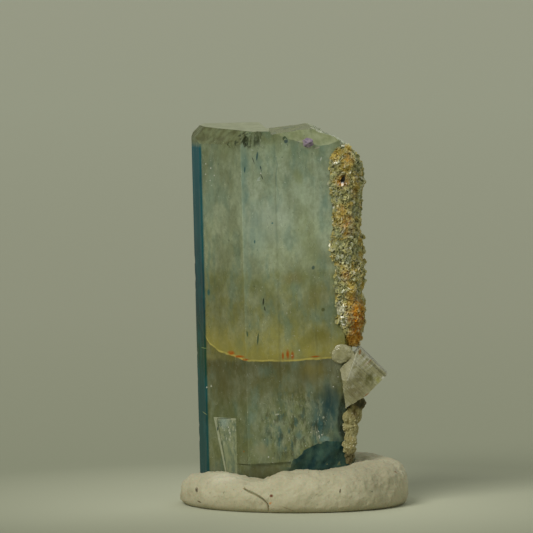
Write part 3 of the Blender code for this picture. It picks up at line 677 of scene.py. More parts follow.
# Small dark and bright inclusions just under the front, and one painted glint: centre, radii, turn about Y,
# colour.
FLECKS = [
    ((-1.63, -7.3, 43.6), (0.14, 0.6, 0.75), 8.0, "#2A5F6B"),
    ((-1.2, -7.1, 42.1), (0.1, 0.6, 0.45), -14.0, "#1F4650"),
    ((-3.2, -7.9, 42.0), (0.14, 0.6, 0.5), 5.0, "#3C7078"),
    ((-2.1, -7.5, 43.1), (0.06, 0.6, 0.55), -18.0, "#16201C"),
    ((-1.1, -7.1, 41.0), (0.06, 0.6, 0.55), -22.0, "#14201C"),
    ((-1.3, -7.2, 25.5), (0.13, 0.6, 0.62), 6.0, "#161C18"),
    ((-1.15, -7.1, 24.6), (0.09, 0.6, 0.4), -10.0, "#1A201A"),
    ((-2.1, -7.45, 20.9), (0.13, 0.6, 0.95), 6.0, "#3D6250"),
    ((-3.4, -7.9, 21.6), (0.12, 0.6, 0.5), -8.0, "#55765E"),
    ((5.0, -4.9, 29.4), (0.26, 0.8, 0.34), 20.0, "#54706A"),
    ((6.1, -4.5, 24.1), (0.3, 0.8, 0.3), 0.0, "#6E7446"),
    ((0.05, -6.7, 35.2), (0.16, 0.8, 0.16), 0.0, "#4F8690"),
    ((-2.2, -7.5, 33.0), (0.14, 0.8, 0.3), 0.0, "#5A8A90"),
    ((-8.1, -4.2, 26.6), (0.22, 0.8, 0.5), 0.0, "#3E7070"),
    ((-8.1, -4.3, 14.9), (0.09, 0.6, 0.2), 15.0, "#DDE0C8"),
    ((0.05, -6.7, 11.35), (0.36, 0.6, 0.14), -8.0, "#E6EAD8"),
    ((-1.5, -7.2, 40.8), (0.16, 0.6, 0.42), 40.0, "#D8E8E0"),
    ((-1.5, -7.2, 40.6), (0.34, 0.6, 0.1), -6.0, "#E8F4EC"),
    ((-2.2, -7.5, 44.4), (0.2, 0.6, 0.1), 20.0, "#DCE6D6"),
    ((-4.2, -7.5, 6.9), (0.1, 0.6, 0.16), 0.0, "#B0702C"),
    ((-9.2, -3.3, 11.5), (0.8, 1.2, 0.07), 25.0, "#9AA66C"),
    ((-9.1, -3.4, 19.6), (1.0, 1.2, 0.06), 2.0, "#8FA66C"),
    ((5.85, -4.6, 44.3), (0.5, 1.0, 0.13), -15.0, "#DDDCC8"),
    ((3.75, -5.2, 45.2), (0.5, 1.0, 0.07), -4.0, "#D8DAC4"),
    # Painted glint.
    ((6.3, -4.5, 42.9), (0.12, 0.8, 0.34), 20.0, "#F4FAF4"),
    ((2.0, -6.0, 45.3), (0.34, 0.6, 0.34), 0.0, "#46606A"),
    ((-7.4, -4.9, 9.6), (0.14, 0.6, 0.4), 10.0, "#37504A"),
]
# Where painted glints are scattered on the crystal: centre and radii.
GLINT_PLACES = [
    ((-1.2, -7.2, 7.0), (1.0, 1.4, 2.2)),
    ((-0.3, -6.8, 5.7), (2.8, 1.4, 0.5)),
    ((4.0, -5.4, 8.0), (3.6, 1.6, 2.4)),
    ((7.4, -4.0, 15.0), (1.4, 1.4, 2.4)),
    ((2.2, -5.9, 18.9), (2.4, 1.4, 0.8)),
    ((-1.2, -7.1, 41.2), (1.2, 1.4, 1.6)),
    ((-7.4, -4.8, 42.0), (1.4, 1.4, 2.6)),
    ((-8.3, -4.0, 15.2), (0.7, 1.2, 1.2)),
    ((-6.3, -5.5, 9.0), (1.2, 1.2, 2.2)),
]
IRON_STAINS = [
    ((-5.5, -6.6, 19.15), (0.7, 1.4, 0.42)),
    ((-4.5, -7.3, 18.75), (1.1, 1.4, 0.24)),
    ((-3.7, -7.8, 18.4), (0.6, 1.2, 0.2)),
    ((0.95, -6.3, 18.6), (0.2, 1.4, 0.7)),
    ((1.55, -6.1, 18.75), (0.3, 1.4, 0.85)),
    ((2.15, -5.9, 18.6), (0.3, 1.4, 0.75)),
    ((5.0, -4.9, 18.3), (0.9, 1.2, 0.16)),
]


def crack_height(tree, axis_x):
    """Height of the crack at each X, in mm."""
    share = add_node(
        tree, "ShaderNodeMapRange", {"Value": axis_x, "From Min": CRACK[0][0], "From Max": CRACK[-1][0]}
    )
    curve = add_node(tree, "ShaderNodeFloatCurve", {"Value": share.outputs["Result"]})
    points = curve.mapping.curves[0].points
    span = CRACK[-1][0] - CRACK[0][0]
    places = [((x - CRACK[0][0]) / span, (z - CRACK_CURVE_LOW) / CRACK_CURVE_SPAN) for x, z in CRACK]
    points[0].location = places[0]
    points[1].location = places[-1]
    for place in places[1:-1]:
        points.new(*place)
    for point in points:
        point.handle_type = "VECTOR"
    curve.mapping.update()
    return calc(tree, "MULTIPLY_ADD", curve.outputs[0], CRACK_CURVE_SPAN, CRACK_CURVE_LOW)


def bent_coords(tree, coords):
    """The same coordinates pushed about, so that zones have uneven rims."""
    wobble = add_node(tree, "ShaderNodeTexNoise", {"Vector": coords, "Scale": 0.35, "Detail": 3.0})
    centred = add_node(
        tree, "ShaderNodeVectorMath", {0: wobble.outputs["Color"], 1: (0.5, 0.5, 0.5)}, operation="SUBTRACT"
    )
    pushed = add_node(
        tree,
        "ShaderNodeVectorMath",
        {0: centred.outputs[0], 1: (WOBBLE, WOBBLE, WOBBLE), 2: coords},
        operation="MULTIPLY_ADD",
    )
    return pushed.outputs[0]


def hazed_colour(tree, coords, bent, axes, height):
    """Haze that changes with height, with veils, dust and blue growth zones in it."""
    base = ramp(tree, height, [(z / HAZE_SPAN, code) for z, code in HAZE], "EASE")
    base = veils(tree, coords, base, VEILS)

    # Painted shade makes the left front face darker than the centre face, and the edge between them is blue.
    left = add_node(
        tree,
        "ShaderNodeMapRange",
        {"Value": axes["X"], "From Min": FRONT_EDGE_X, "From Max": FRONT_EDGE_X - FRONT_EDGE_SOFT},
    )
    base = mix(tree, left.outputs["Result"], base, "#DAD8CE", "MULTIPLY")
    from_edge = calc(tree, "ABSOLUTE", calc(tree, "SUBTRACT", axes["X"], BLUE_EDGE_X))
    ridge = add_node(
        tree,
        "ShaderNodeMapRange",
        {"Value": from_edge, "From Min": BLUE_EDGE_HALF[0], "From Max": BLUE_EDGE_HALF[1]},
    )
    in_front = calc(tree, "LESS_THAN", axes["Y"], BLUE_EDGE_Y)
    high_up = add_node(
        tree, "ShaderNodeMapRange", {"Value": axes["Z"], "From Min": 18.0, "From Max": 34.0, "To Min": 0.08}
    )
    base = tint(
        tree, base, "#9FC2B6", ridge.outputs["Result"], in_front, high_up.outputs["Result"], BLUE_EDGE_SHARE
    )

    for centre, radii, softness, code, strength in CLOUDS:
        mask = patch(tree, bent, centre, radii, softness)
        torn = speckle(tree, coords, 1.4, (1.0, 1.0, 0.35), 4.0, 0.2, 0.62, centre)
        both = calc(tree, "MULTIPLY_ADD", product(tree, mask, torn), 0.6, product(tree, mask, 0.4))
        base = tint(tree, base, code, both, strength)
    return veils(tree, coords, base, MURK, patch(tree, bent, *MURKY_ROOM))


def cracked_colour(tree, coords, axes, base):
    """The old crack: a painted yellow reflection above it and a painted glint along its line, orange iron
    stains, and a darker tint under it.
    """
    over = calc(tree, "SUBTRACT", axes["Z"], crack_height(tree, axes["X"]))
    jag = add_node(tree, "ShaderNodeTexNoise", {"Vector": coords, "Scale": 1.1, "Detail": 3.0})
    over = calc(
        tree, "MULTIPLY_ADD", jag.outputs["Fac"], CRACK_JAG, calc(tree, "SUBTRACT", over, CRACK_JAG_MIDDLE)
    )
    # Painted reflection: yellow above the crack.
    above = add_node(tree, "ShaderNodeMapRange", {"Value": over, "From Min": REFLECTION_REACH, "From Max": 0.0})
    base = tint(tree, base, "#CBBE60", above.outputs["Result"], calc(tree, "GREATER_THAN", over, 0.0), 0.55)
    below = add_node(tree, "ShaderNodeMapRange", {"Value": over, "From Min": -SHADE_REACH, "From Max": 0.0})
    base = tint(tree, base, "#5F5A34", below.outputs["Result"], calc(tree, "LESS_THAN", over, 0.0), 0.35)
    # Painted glint: a bright yellow line along the crack.
    line = add_node(
        tree,
        "ShaderNodeMapRange",
        {"Value": calc(tree, "ABSOLUTE", over), "From Min": CRACK_HALF[0], "From Max": CRACK_HALF[1]},
    )
    crack_glint = speckle(tree, coords, 0.8, detail=3.0, low=0.3, high=0.55, shift=(4.0, 4.0, 0.0))
    crack_glint = calc(tree, "MULTIPLY_ADD", crack_glint, 0.6, 0.35)
    base = tint(tree, base, "#F4E27C", line.outputs["Result"], crack_glint)
    rust = any_patch(tree, coords, IRON_STAINS, 0.8)
    return tint(
        tree, base, "#D06A10", rust, speckle(tree, coords, 2.6, (1.0, 1.0, 0.6), 4.0, 0.28, 0.42), 0.98
    )


def blue_band_mask(tree, axes):
    """1 on the narrow left faces, where the beryl is saturated blue."""
    leftness = calc(tree, "SUBTRACT", calc(tree, "MULTIPLY", axes["Y"], BAND_SLANT), axes["X"])
    band = add_node(
        tree, "ShaderNodeMapRange", {"Value": leftness, "From Min": BAND_RIM[0], "From Max": BAND_RIM[1]}
    )
    back = add_node(
        tree, "ShaderNodeMapRange", {"Value": axes["Y"], "From Min": BAND_BACK[0], "From Max": BAND_BACK[1]}
    )
    top = add_node(
        tree, "ShaderNodeMapRange", {"Value": axes["Z"], "From Min": BAND_TOP[0], "From Max": BAND_TOP[1]}
    )
    return product(tree, band.outputs["Result"], back.outputs["Result"], top.outputs["Result"])


def chip_mask(tree, axes, lean, uneven_x):
    """1 on the broken corner at the foot: its face looks downwards."""
    down = add_node(tree, "ShaderNodeMapRange", {"Value": lean, "From Min": -0.01, "From Max": -0.05})
    over_rim = calc(tree, "MULTIPLY_ADD", axes["X"], -CHIP_SLOPE, axes["Z"])
    below_rim = calc(tree, "LESS_THAN", over_rim, CHIP_RIM)
    inwards = add_node(
        tree, "ShaderNodeMapRange", {"Value": uneven_x, "From Min": CHIP_LEFT[0], "From Max": CHIP_LEFT[1]}
    )
    return product(tree, down.outputs["Result"], below_rim, inwards.outputs["Result"])


def sliver_colour(tree, coords, axes, base):
    """The cleaved sliver on the left front face: pale, cracked and bluish at its top, with painted
    highlights along its left rim and top lip.
    """
    slant = calc(tree, "MULTIPLY_ADD", axes["Z"], SLIVER_SLANT, axes["X"])
    sliver = product(
        tree,
        calc(tree, "GREATER_THAN", slant, SLIVER_LEFT),
        calc(tree, "LESS_THAN", axes["X"], SLIVER_RIGHT),
        calc(tree, "LESS_THAN", axes["Z"], SLIVER_TOP),
        calc(tree, "LESS_THAN", axes["Y"], SLIVER_FRONT),
    )
    mottle = speckle(tree, coords, 1.9, (1.0, 1.0, 0.5), 6.0, 0.44, 0.6)
    base = tint(tree, base, mix(tree, mottle, "#BCC39C", "#8A9C84"), sliver, 0.75)
    upper = add_node(
        tree, "ShaderNodeMapRange", {"Value": axes["Z"], "From Min": CRUSHED_FROM, "From Max": CRUSHED_TO}
    )
    base = veils(tree, coords, base, CRUSHED, sliver, upper.outputs["Result"])
    # Painted highlights along the sliver's left rim and top lip.
    rim = calc(tree, "LESS_THAN", slant, SLIVER_LEFT + SLIVER_RIM_HIGHLIGHT)
    lip_highlight = calc(tree, "GREATER_THAN", axes["Z"], SLIVER_TOP - SLIVER_LIP_HIGHLIGHT)
    base = tint(tree, base, "#DCDFC2", sliver, calc(tree, "MAXIMUM", rim, lip_highlight), 0.6)
    return tint(tree, base, "#B9CFC8", sliver, patch(tree, coords, *SLIVER_TIP), 0.7)


def top_colour(tree, coords, bent, axes, lean, level, base):
    """Darker bevels under the top edge, a frosted top with a painted pale reflection on its left half, and
    corroded stone at its left end.
    """
    right_half = calc(tree, "GREATER_THAN", axes["X"], CROWN_X)
    slope = product(tree, calc(tree, "GREATER_THAN", lean, 0.4), calc(tree, "LESS_THAN", lean, 0.93))
    etched = speckle(tree, coords, 1.2, (1.0, 1.0, 0.5), 5.0, 0.4, 0.6, (6.0, 1.0, 1.0))
    bevel = calc(tree, "LESS_THAN", axes["X"], BEVEL_X)
    base = tint(tree, base, mix(tree, etched, "#98A078", "#6C6C48"), slope, bevel, 0.7)
    shoulder = calc(tree, "GREATER_THAN", axes["X"], 0.0)
    base = tint(tree, base, mix(tree, etched, "#DDE4B8", "#B8C090"), slope, shoulder, 0.6)
    base = tint(tree, base, "#B6BC88", level, right_half, 0.85)
    # Painted reflection: the left half of the level top is painted pale, standing for the bright
    # surroundings mirrored in it.
    frost_and_sheen = speckle(tree, coords, 0.8, detail=6.0, low=0.4, high=0.6)
    left_half = calc(tree, "SUBTRACT", 1.0, right_half)
    base = tint(tree, base, mix(tree, frost_and_sheen, "#DDE2C4", "#CBD0B2"), level, left_half, 0.9)
    corroded = speckle(tree, coords, 1.9, (1.0, 1.0, 0.45), 6.0, 0.47, 0.6, (2.0, 5.0, 1.0))
    return tint(tree, base, "#3E4832", patch(tree, bent, *PITTED_ROOM), corroded, 0.85)


def inclusion_colour(tree, coords, base):
    """Small inclusions, and painted glints: white dots standing for cleavage mirrors that catch the light in
    the cracked places.
    """
    for centre, radii, turn, code in FLECKS:
        base = tint(tree, base, code, patch(tree, coords, centre, radii, 0.55, (0.0, turn, 0.0)), 0.9)
    cells = add_node(tree, "ShaderNodeTexVoronoi", {"Vector": coords, "Scale": 1.9})
    chosen = add_node(tree, "ShaderNodeSeparateColor", {0: cells.outputs["Color"]})
    glint_dot = calc(tree, "LESS_THAN", cells.outputs["Distance"], GLINT_RADIUS)
    kept = calc(tree, "GREATER_THAN", chosen.outputs[0], 1.0 - GLINT_SHARE)
    return tint(tree, base, "#FFFFFA", glint_dot, kept, any_patch(tree, coords, GLINT_PLACES, 0.5))


def aquamarine_material():
    """Beryl: clear and glassy, hazed by tiny veils, with blue growth zones at its edges."""
    mat, tree, shader = new_material("hazed_blue_green_beryl")
    coords = crystal_mm(tree)
    bent = bent_coords(tree, coords)
    axes = add_node(tree, "ShaderNodeSeparateXYZ", {0: coords}).outputs
    uneven = add_node(tree, "ShaderNodeSeparateXYZ", {0: bent}).outputs
    height = add_node(
        tree, "ShaderNodeMapRange", {"Value": uneven["Z"], "From Max": HAZE_SPAN}
    ).outputs["Result"]
    facing = add_node(tree, "ShaderNodeTexCoord").outputs["Normal"]
    lean = add_node(tree, "ShaderNodeSeparateXYZ", {0: facing}).outputs["Z"]

    base = hazed_colour(tree, coords, bent, axes, height)
    base = cracked_colour(tree, coords, axes, base)
    band = blue_band_mask(tree, axes)
    blue = veils(tree, coords, ramp(tree, height, BLUE_BAND), BAND_VEILS)
    base = tint(tree, base, blue, band, 0.96)
    chip = chip_mask(tree, axes, lean, uneven["X"])
    deep = speckle(tree, coords, 0.9, (1.0, 1.0, 0.6), 5.0, 0.35, 0.65, (2.0, 2.0, 0.0))
    base = tint(tree, base, mix(tree, deep, "#154450", "#4C7068"), chip, 0.94)
    base = sliver_colour(tree, coords, axes, base)
    level = product(
        tree, calc(tree, "GREATER_THAN", lean, LEVEL_LEAN), calc(tree, "GREATER_THAN", axes["Z"], LEVEL_FROM)
    )
    base = top_colour(tree, coords, bent, axes, lean, level, base)
    base = inclusion_colour(tree, coords, base)
    tree.links.new(base, shader.inputs["Base Color"])

    # The blue zones are dense, and the rest lets more light through.
    zone = product(tree, patch(tree, coords, *DENSE_ROOM), 0.6)
    dense = calc(tree, "MAXIMUM", calc(tree, "MAXIMUM", band, product(tree, chip, 0.8)), zone)
    clear = add_node(
        tree, "ShaderNodeMapRange", {"Value": dense, "To Min": CLEAREST, "To Max": DENSEST}
    )
    tree.links.new(clear.outputs["Result"], shader.inputs["Transmission Weight"])
    shader.inputs["IOR"].default_value = BERYL_IOR
    shader.inputs["Specular IOR Level"].default_value = 0.08

    # Growth lines and fine etching give the gloss its grain; the frosted top is dull.
    dull = speckle(tree, coords, 0.9, (1.0, 1.0, 0.3), 5.0, 0.3, 0.7)
    gloss = add_node(tree, "ShaderNodeMapRange", {"Value": dull, "To Min": 0.1, "To Max": 0.3})
    left_half = calc(tree, "LESS_THAN", axes["X"], CROWN_X)
    satin = calc(tree, "MAXIMUM", gloss.outputs["Result"], product(tree, level, left_half, 0.7))
    tree.links.new(satin, shader.inputs["Roughness"])
    drawn = add_node(tree, "ShaderNodeMapping", {"Vector": coords, "Scale": (1.0, 1.0, 0.06)})
    lines = add_node(tree, "ShaderNodeTexNoise", {"Vector": drawn.outputs[0], "Scale": 3.0, "Detail": 4.0})
    etch = add_node(tree, "ShaderNodeTexNoise", {"Vector": coords, "Scale": 4.0, "Detail": 5.0})
    relief = calc(tree, "MULTIPLY_ADD", etch.outputs["Fac"], 0.4, lines.outputs["Fac"])
    bump = add_node(tree, "ShaderNodeBump", {"Height": relief, "Strength": 0.12, "Distance": 0.05 * MM})
    tree.links.new(bump.outputs["Normal"], shader.inputs["Normal"])

    depth = add_node(tree, "ShaderNodeVolumeAbsorption")
    depth.inputs["Color"].default_value = linear("#8FB08C")
    depth.inputs["Density"].default_value = 16.0
    tree.links.new(depth.outputs["Volume"], tree.nodes["Material Output"].inputs["Volume"])
    return mat


def build_aquamarine(mat):
    bm = build_walls()
    shave(bm, Vector((0.0, 0.0, 0.0)), Vector((0.0, 0.0, -1.0)))
    corners = outline(0.0)
    for face, drop, rise in TOP_BEVELS:
        middle = corners[face].lerp(corners[(face + 1) % len(corners)], 0.5)
        shave(bm, Vector((*middle, PRISM_LENGTH - drop)), compass(PRISM_FACES[face][0], rise))
    crystal = add_object("aquamarine_crystal", bm, mat)
    for shape in [ETCHED_TOP] + BREAKS:
        carve(crystal, [break_slab(*shape)])
    ledge = add_object("ledge", extrude_outline([Vector(p) * MM for p in LEDGE_PLAN], -MM, LEDGE_TOP))
    pits = [rough_ball(centre, radii, 0.35, seed, 3) for seed, (centre, radii) in enumerate(PITS)]
    carve(crystal, [ledge, sliver_room()] + pits)
    keep_largest(crystal)
    crisp_edges(crystal, 24.0)
    crystal.data.transform(CRYSTAL)
    return crystal


aquamarine = build_aquamarine(aquamarine_material())
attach(aquamarine, "root")
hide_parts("aquamarine")

# Muscovite crust. Thousands of small flakes of golden and silvery mica that grew over the
# crystal's right edge, stuck to one another at every angle, and rusty where water seeped.
SEAM = 0.2 * MM
# Height, how far the crust reaches past the front right corner over the front face and round
# the side, and its thickness on the front and on the side, in mm.
CRUST_ROWS = [
    (44.3, 0.3, 3.6, 0.3, 0.5),
    (43.4, 1.1, 5.2, 0.7, 1.2),
    (42.5, 1.5, 6.6, 0.9, 1.6),
    (41.0, 1.4, 8.3, 1.1, 1.9),
    (39.5, 1.6, 8.9, 1.0, 1.9),
    (38.0, 1.3, 8.0, 1.1, 1.6),
    (36.5, 1.2, 6.7, 0.9, 1.4),
    (35.0, 1.2, 6.3, 1.0, 1.5),
    (33.5, 1.3, 7.2, 1.1, 1.5),
    (32.0, 1.7, 8.6, 1.1, 1.5),
    (30.6, 1.5, 9.4, 0.9, 1.4),
    (29.6, 0.9, 8.8, 0.9, 1.6),
    (28.2, 1.1, 7.1, 1.1, 1.9),
    (26.8, 1.3, 6.0, 1.0, 1.7),
    (25.4, 1.1, 6.4, 1.2, 1.6),
    (24.0, 1.0, 7.3, 1.2, 1.7),
    (22.6, 0.9, 6.8, 1.0, 1.8),
    (21.6, 0.3, 5.6, 0.9, 1.5),
    (20.8, -0.5, 4.9, 0.8, 1.2),
    (20.0, -1.2, 4.4, 0.7, 1.3),
    (19.2, -1.6, 3.8, 0.5, 1.2),
]
# Lumps on the crust: their height and size, and for the finer and finest ones how high they
# are and how many go to a coarse one.
CRUST_LUMP = 0.4 * MM
CRUST_GRAIN = 1.3 * MM
CRUST_FINE = (0.7, 2.3)
CRUST_FINEST = (0.6, 3.1)
# Valleys between clumps: depth, how many to a lump, and width.
CRUST_VALLEY = 0.45 * MM
VALLEY_COUNT = 1.3
VALLEY_HALF = 0.22
VALLEY_SHIFT = Vector((7.0, 0.0, 0.0))
CRUST_LEAST = 0.1 * MM
CRUST_RAGGED = 0.5 * MM
SLOPE_REACH = 0.9 * MM
# Where the front thickness gives way to the side's, past the front right corner.
CORNER_FROM = -1.0 * MM
CORNER_SPAN = 3.0 * MM
# How fast the crust thickens from its front and its back edge, and with what it starts.
CRUST_FRONT_RISE = (5.0, 0.12)
CRUST_BACK_RISE = (2.2, 0.15)
CRUST_INNER_SEAM = 0.2
CRUST_ROW_STEP = 0.2
CRUST_STEPS = 46
# The hollow near the top, painted near black as shade: centre and radii, and the thin skin left at its
# bottom. No flakes stand inside the bare share of its radii.
HOLLOW = Vector((8.97, -4.3, 40.2))
HOLLOW_RADII = (0.3, 1.6, 0.55)
HOLLOW_SKIN = 0.12 * MM
HOLLOW_DEEP = 0.85
HOLLOW_FLAT = 0.7
HOLLOW_BARE = 1.1
# Flakes, and how far they lie flat on the bed: 0 is at any angle, 1 is flat.
FLAKES_LIE = 0.35
FLAKES_PER_MM2 = 17.0
FLAKE_RADIUS = 0.36 * MM
FLAKE_THICKNESS = 0.04 * MM
# Where iron has stained the flakes: centre and radii in mm, and strength.
RUST = [
    ((10.1, -2.7, 23.0), (2.0, 3.0, 3.2), 1.25),
    ((10.1, -2.8, 20.4), (1.6, 2.2, 1.8), 1.5),
    ((9.3, -3.6, 34.6), (1.4, 2.0, 2.6), 0.5),
    ((8.9, -4.2, 40.0), (1.2, 1.8, 1.2), 0.6),
    ((9.7, -3.6, 42.6), (1.1, 1.6, 1.2), 0.5),
    ((10.1, -3.0, 38.7), (0.8, 1.6, 1.4), 0.4),
    ((8.6, -4.2, 36.6), (0.7, 1.4, 0.9), 0.4),
    ((9.0, -4.1, 28.2), (0.9, 1.4, 1.2), 0.35),
    ((9.6, -3.4, 25.6), (1.3, 1.6, 1.0), 0.5),
    ((10.6, 1.5, 39.5), (1.4, 1.6, 1.8), 0.5),
    ((10.8, 3.0, 31.0), (1.4, 2.0, 1.6), 0.6),
]
# The neck under the crust: rust, painted brighter ochre as light where shade falls between the crust and the
# book.
RUST_AND_LIGHT_COLLAR = ((9.9, -3.2, 19.9), (1.6, 2.4, 1.1), 0.6)
SILVERY_SPOT = ((8.1, -4.3, 24.0), (1.0, 1.4, 0.8), 0.8)
# Silvery and golden clumps, listed as the veils are.
MICA_VEILS = [
    (0.5, (1.0, 1.0, 1.0), 6.0, 0.44, 0.58, (4.0, 0.0, 2.0), "#A4B08C", 0.55),
    (0.6, (1.0, 1.0, 1.0), 6.0, 0.5, 0.6, (0.0, 0.0, 0.0), "#E2C044", 0.6),
]
# Each flake's colour by a tone of its own, between 0 and 1; the near-white top of the ramp is painted
# glints.
MICA_TONES_AND_GLINTS = [
    (0.0, "#66623A"),
    (0.13, "#A6A26A"),
    (0.4, "#D6D090"),
    (0.7, "#E9E2A0"),
    (0.86, "#F6F3D0"),
    (0.94, "#FFFDF0"),
    (1.0, "#FFFFF6"),
]


def side_point(along, gap):
    """Point on the prism's side, so far past the front face's right corner."""
    corners = outline(gap)
    index = 1
    if along < 0.0:
        direction = (corners[0] - corners[index]).normalized()
        return corners[index] + direction * -along
    left = along
    while True:
        start = corners[index % len(corners)]
        end = corners[(index + 1) % len(corners)]
        length = (end - start).length
        if left <= length:
            return start.lerp(end, left / length)
        left -= length
        index += 1


def crust_row(height):
    """The crust's reaches and thicknesses at a height, between those of the rows around it."""
    for above, below in zip(CRUST_ROWS, CRUST_ROWS[1:]):
        if above[0] >= height >= below[0]:
            share = (above[0] - height) / (above[0] - below[0])
            return [a + (b - a) * share for a, b in zip(above, below)]
    return list(CRUST_ROWS[-1])


def hollow_distance(place):
    """Distance from the middle of the hollow, 1 at its rim."""
    return Vector([(place[i] / MM - HOLLOW[i]) / HOLLOW_RADII[i] for i in range(3)]).length


def crust_point(row, share):
    """Point on the crust's outer skin; share runs from the front edge to the back edge."""
    height, front_reach, side_reach, front_thick, side_thick = row
    start = -front_reach * MM
    end = side_reach * MM
    ragged = CRUST_RAGGED * roughness_at(Vector((3.0 * share, 7.0, height * 1.4)))
    along = start + (end - start) * share + ragged * (1.0 - 2.0 * share)
    place = side_point(along, SEAM)
    ahead = side_point(along + SLOPE_REACH, SEAM)
    behind = side_point(along - SLOPE_REACH, SEAM)
    tangent = (ahead - behind).normalized()
    outward = Vector((tangent.y, -tangent.x))
    blend = min(1.0, max(0.0, (along - CORNER_FROM) / CORNER_SPAN))
    thick = (front_thick + (side_thick - front_thick) * blend) * MM
    from_front = CRUST_FRONT_RISE[0] * share + CRUST_FRONT_RISE[1]
    from_back = CRUST_BACK_RISE[0] * (1.0 - share) + CRUST_BACK_RISE[1]
    edge = min(1.0, from_front, from_back)
    spot = Vector((place.x, place.y, height * MM)) / CRUST_GRAIN
    lump = CRUST_LUMP * noise.noise(spot) + CRUST_FINE[0] * CRUST_LUMP * noise.noise(spot * CRUST_FINE[1])
    lump += CRUST_FINEST[0] * CRUST_LUMP * roughness_at(spot * CRUST_FINEST[1])
    valley = abs(noise.noise(spot * VALLEY_COUNT + VALLEY_SHIFT)) / VALLEY_HALF
    lump -= CRUST_VALLEY * max(0.0, 1.0 - valley)
    skin = place + outward * max(CRUST_LEAST, (thick + lump) * edge)
    found = Vector((skin.x, skin.y, height * MM))
    away = hollow_distance(found)
    if away < 2.0 * HOLLOW_FLAT:
        sunk = place + outward * HOLLOW_SKIN
        share_in = max(0.0, 1.0 - max(0.0, away - HOLLOW_FLAT) / HOLLOW_FLAT)
        found = found.lerp(Vector((sunk.x, sunk.y, height * MM)), share_in * HOLLOW_DEEP)
    return found


def build_crust():
    """The crust's lumpy bed, marked 1 in "room" where flakes may stand on it."""
    bm = bmesh.new()
    room = bm.verts.layers.float.new("room")
    top = CRUST_ROWS[0][0]
    rows = round((top - CRUST_ROWS[-1][0]) / CRUST_ROW_STEP)
    loops = []
    for step in range(rows + 1):
        row = crust_row(top - step * CRUST_ROW_STEP)
        loop = []
        for i in range(CRUST_STEPS + 1):
            vert = bm.verts.new(crust_point(row, i / CRUST_STEPS))
            vert[room] = 0.0 if hollow_distance(vert.co) < HOLLOW_BARE else 1.0
            loop.append(vert)
        for i in range(CRUST_STEPS, -1, -1):
            along = (-row[1] + (row[2] + row[1]) * i / CRUST_STEPS) * MM
            place = side_point(along, SEAM * CRUST_INNER_SEAM)
            loop.append(bm.verts.new((place.x, place.y, row[0] * MM)))
        loops.append(loop)
    stitch(bm, loops)
    bm.faces.new(loops[0])
    bm.faces.new(loops[-1])
    return add_object("mica_crust", bm)


def mica_flake_material():
    """Muscovite in small flakes: pearly and slightly clear, so each flake flashes on its own; the brightest
    tones are painted glints.
    """
    mat, tree, shader = new_material("pearly_muscovite_flakes")
    coords = crystal_mm(tree)
    tone = add_node(tree, "ShaderNodeAttribute", attribute_name="tone", attribute_type="GEOMETRY")
    base = ramp(tree, tone.outputs["Fac"], MICA_TONES_AND_GLINTS)
    base = veils(tree, coords, base, MICA_VEILS)
    rust = 0.0
    for centre, radii, strength in RUST:
        rust = calc(tree, "MAXIMUM", rust, product(tree, patch(tree, coords, centre, radii, 0.8), strength))
    blotch = speckle(tree, coords, 2.2, detail=5.0, low=0.4, high=0.54, shift=(1.0, 5.0, 0.0))
    rust = calc(tree, "MINIMUM", product(tree, rust, calc(tree, "ADD", blotch, 0.25)), 1.0)
    ochre = mix(tree, speckle(tree, coords, 1.7, detail=4.0, low=0.42, high=0.6), "#F0AC1C", "#C07A16")
    base = mix(tree, rust, base, ochre)
    # Rust and painted light on the neck.
    base = tint(tree, base, "#FFD060", patch(tree, coords, *RUST_AND_LIGHT_COLLAR), 0.75)
    base = tint(tree, base, "#FAF8E6", patch(tree, coords, *SILVERY_SPOT), 0.8)
    # Painted shade: the hollow is painted near black.
    base = mix(tree, patch(tree, coords, HOLLOW, HOLLOW_RADII, 0.3, (0.0, 18.0, 0.0)), base, "#15160F")
    tree.links.new(base, shader.inputs["Base Color"])
    gloss = add_node(
        tree, "ShaderNodeMapRange", {"Value": tone.outputs["Fac"], "To Min": 0.55, "To Max": 0.16}
    )
    tree.links.new(gloss.outputs["Result"], shader.inputs["Roughness"])
    shader.inputs["IOR"].default_value = 1.58
    shader.inputs["Transmission Weight"].default_value = 0.12
    return mat


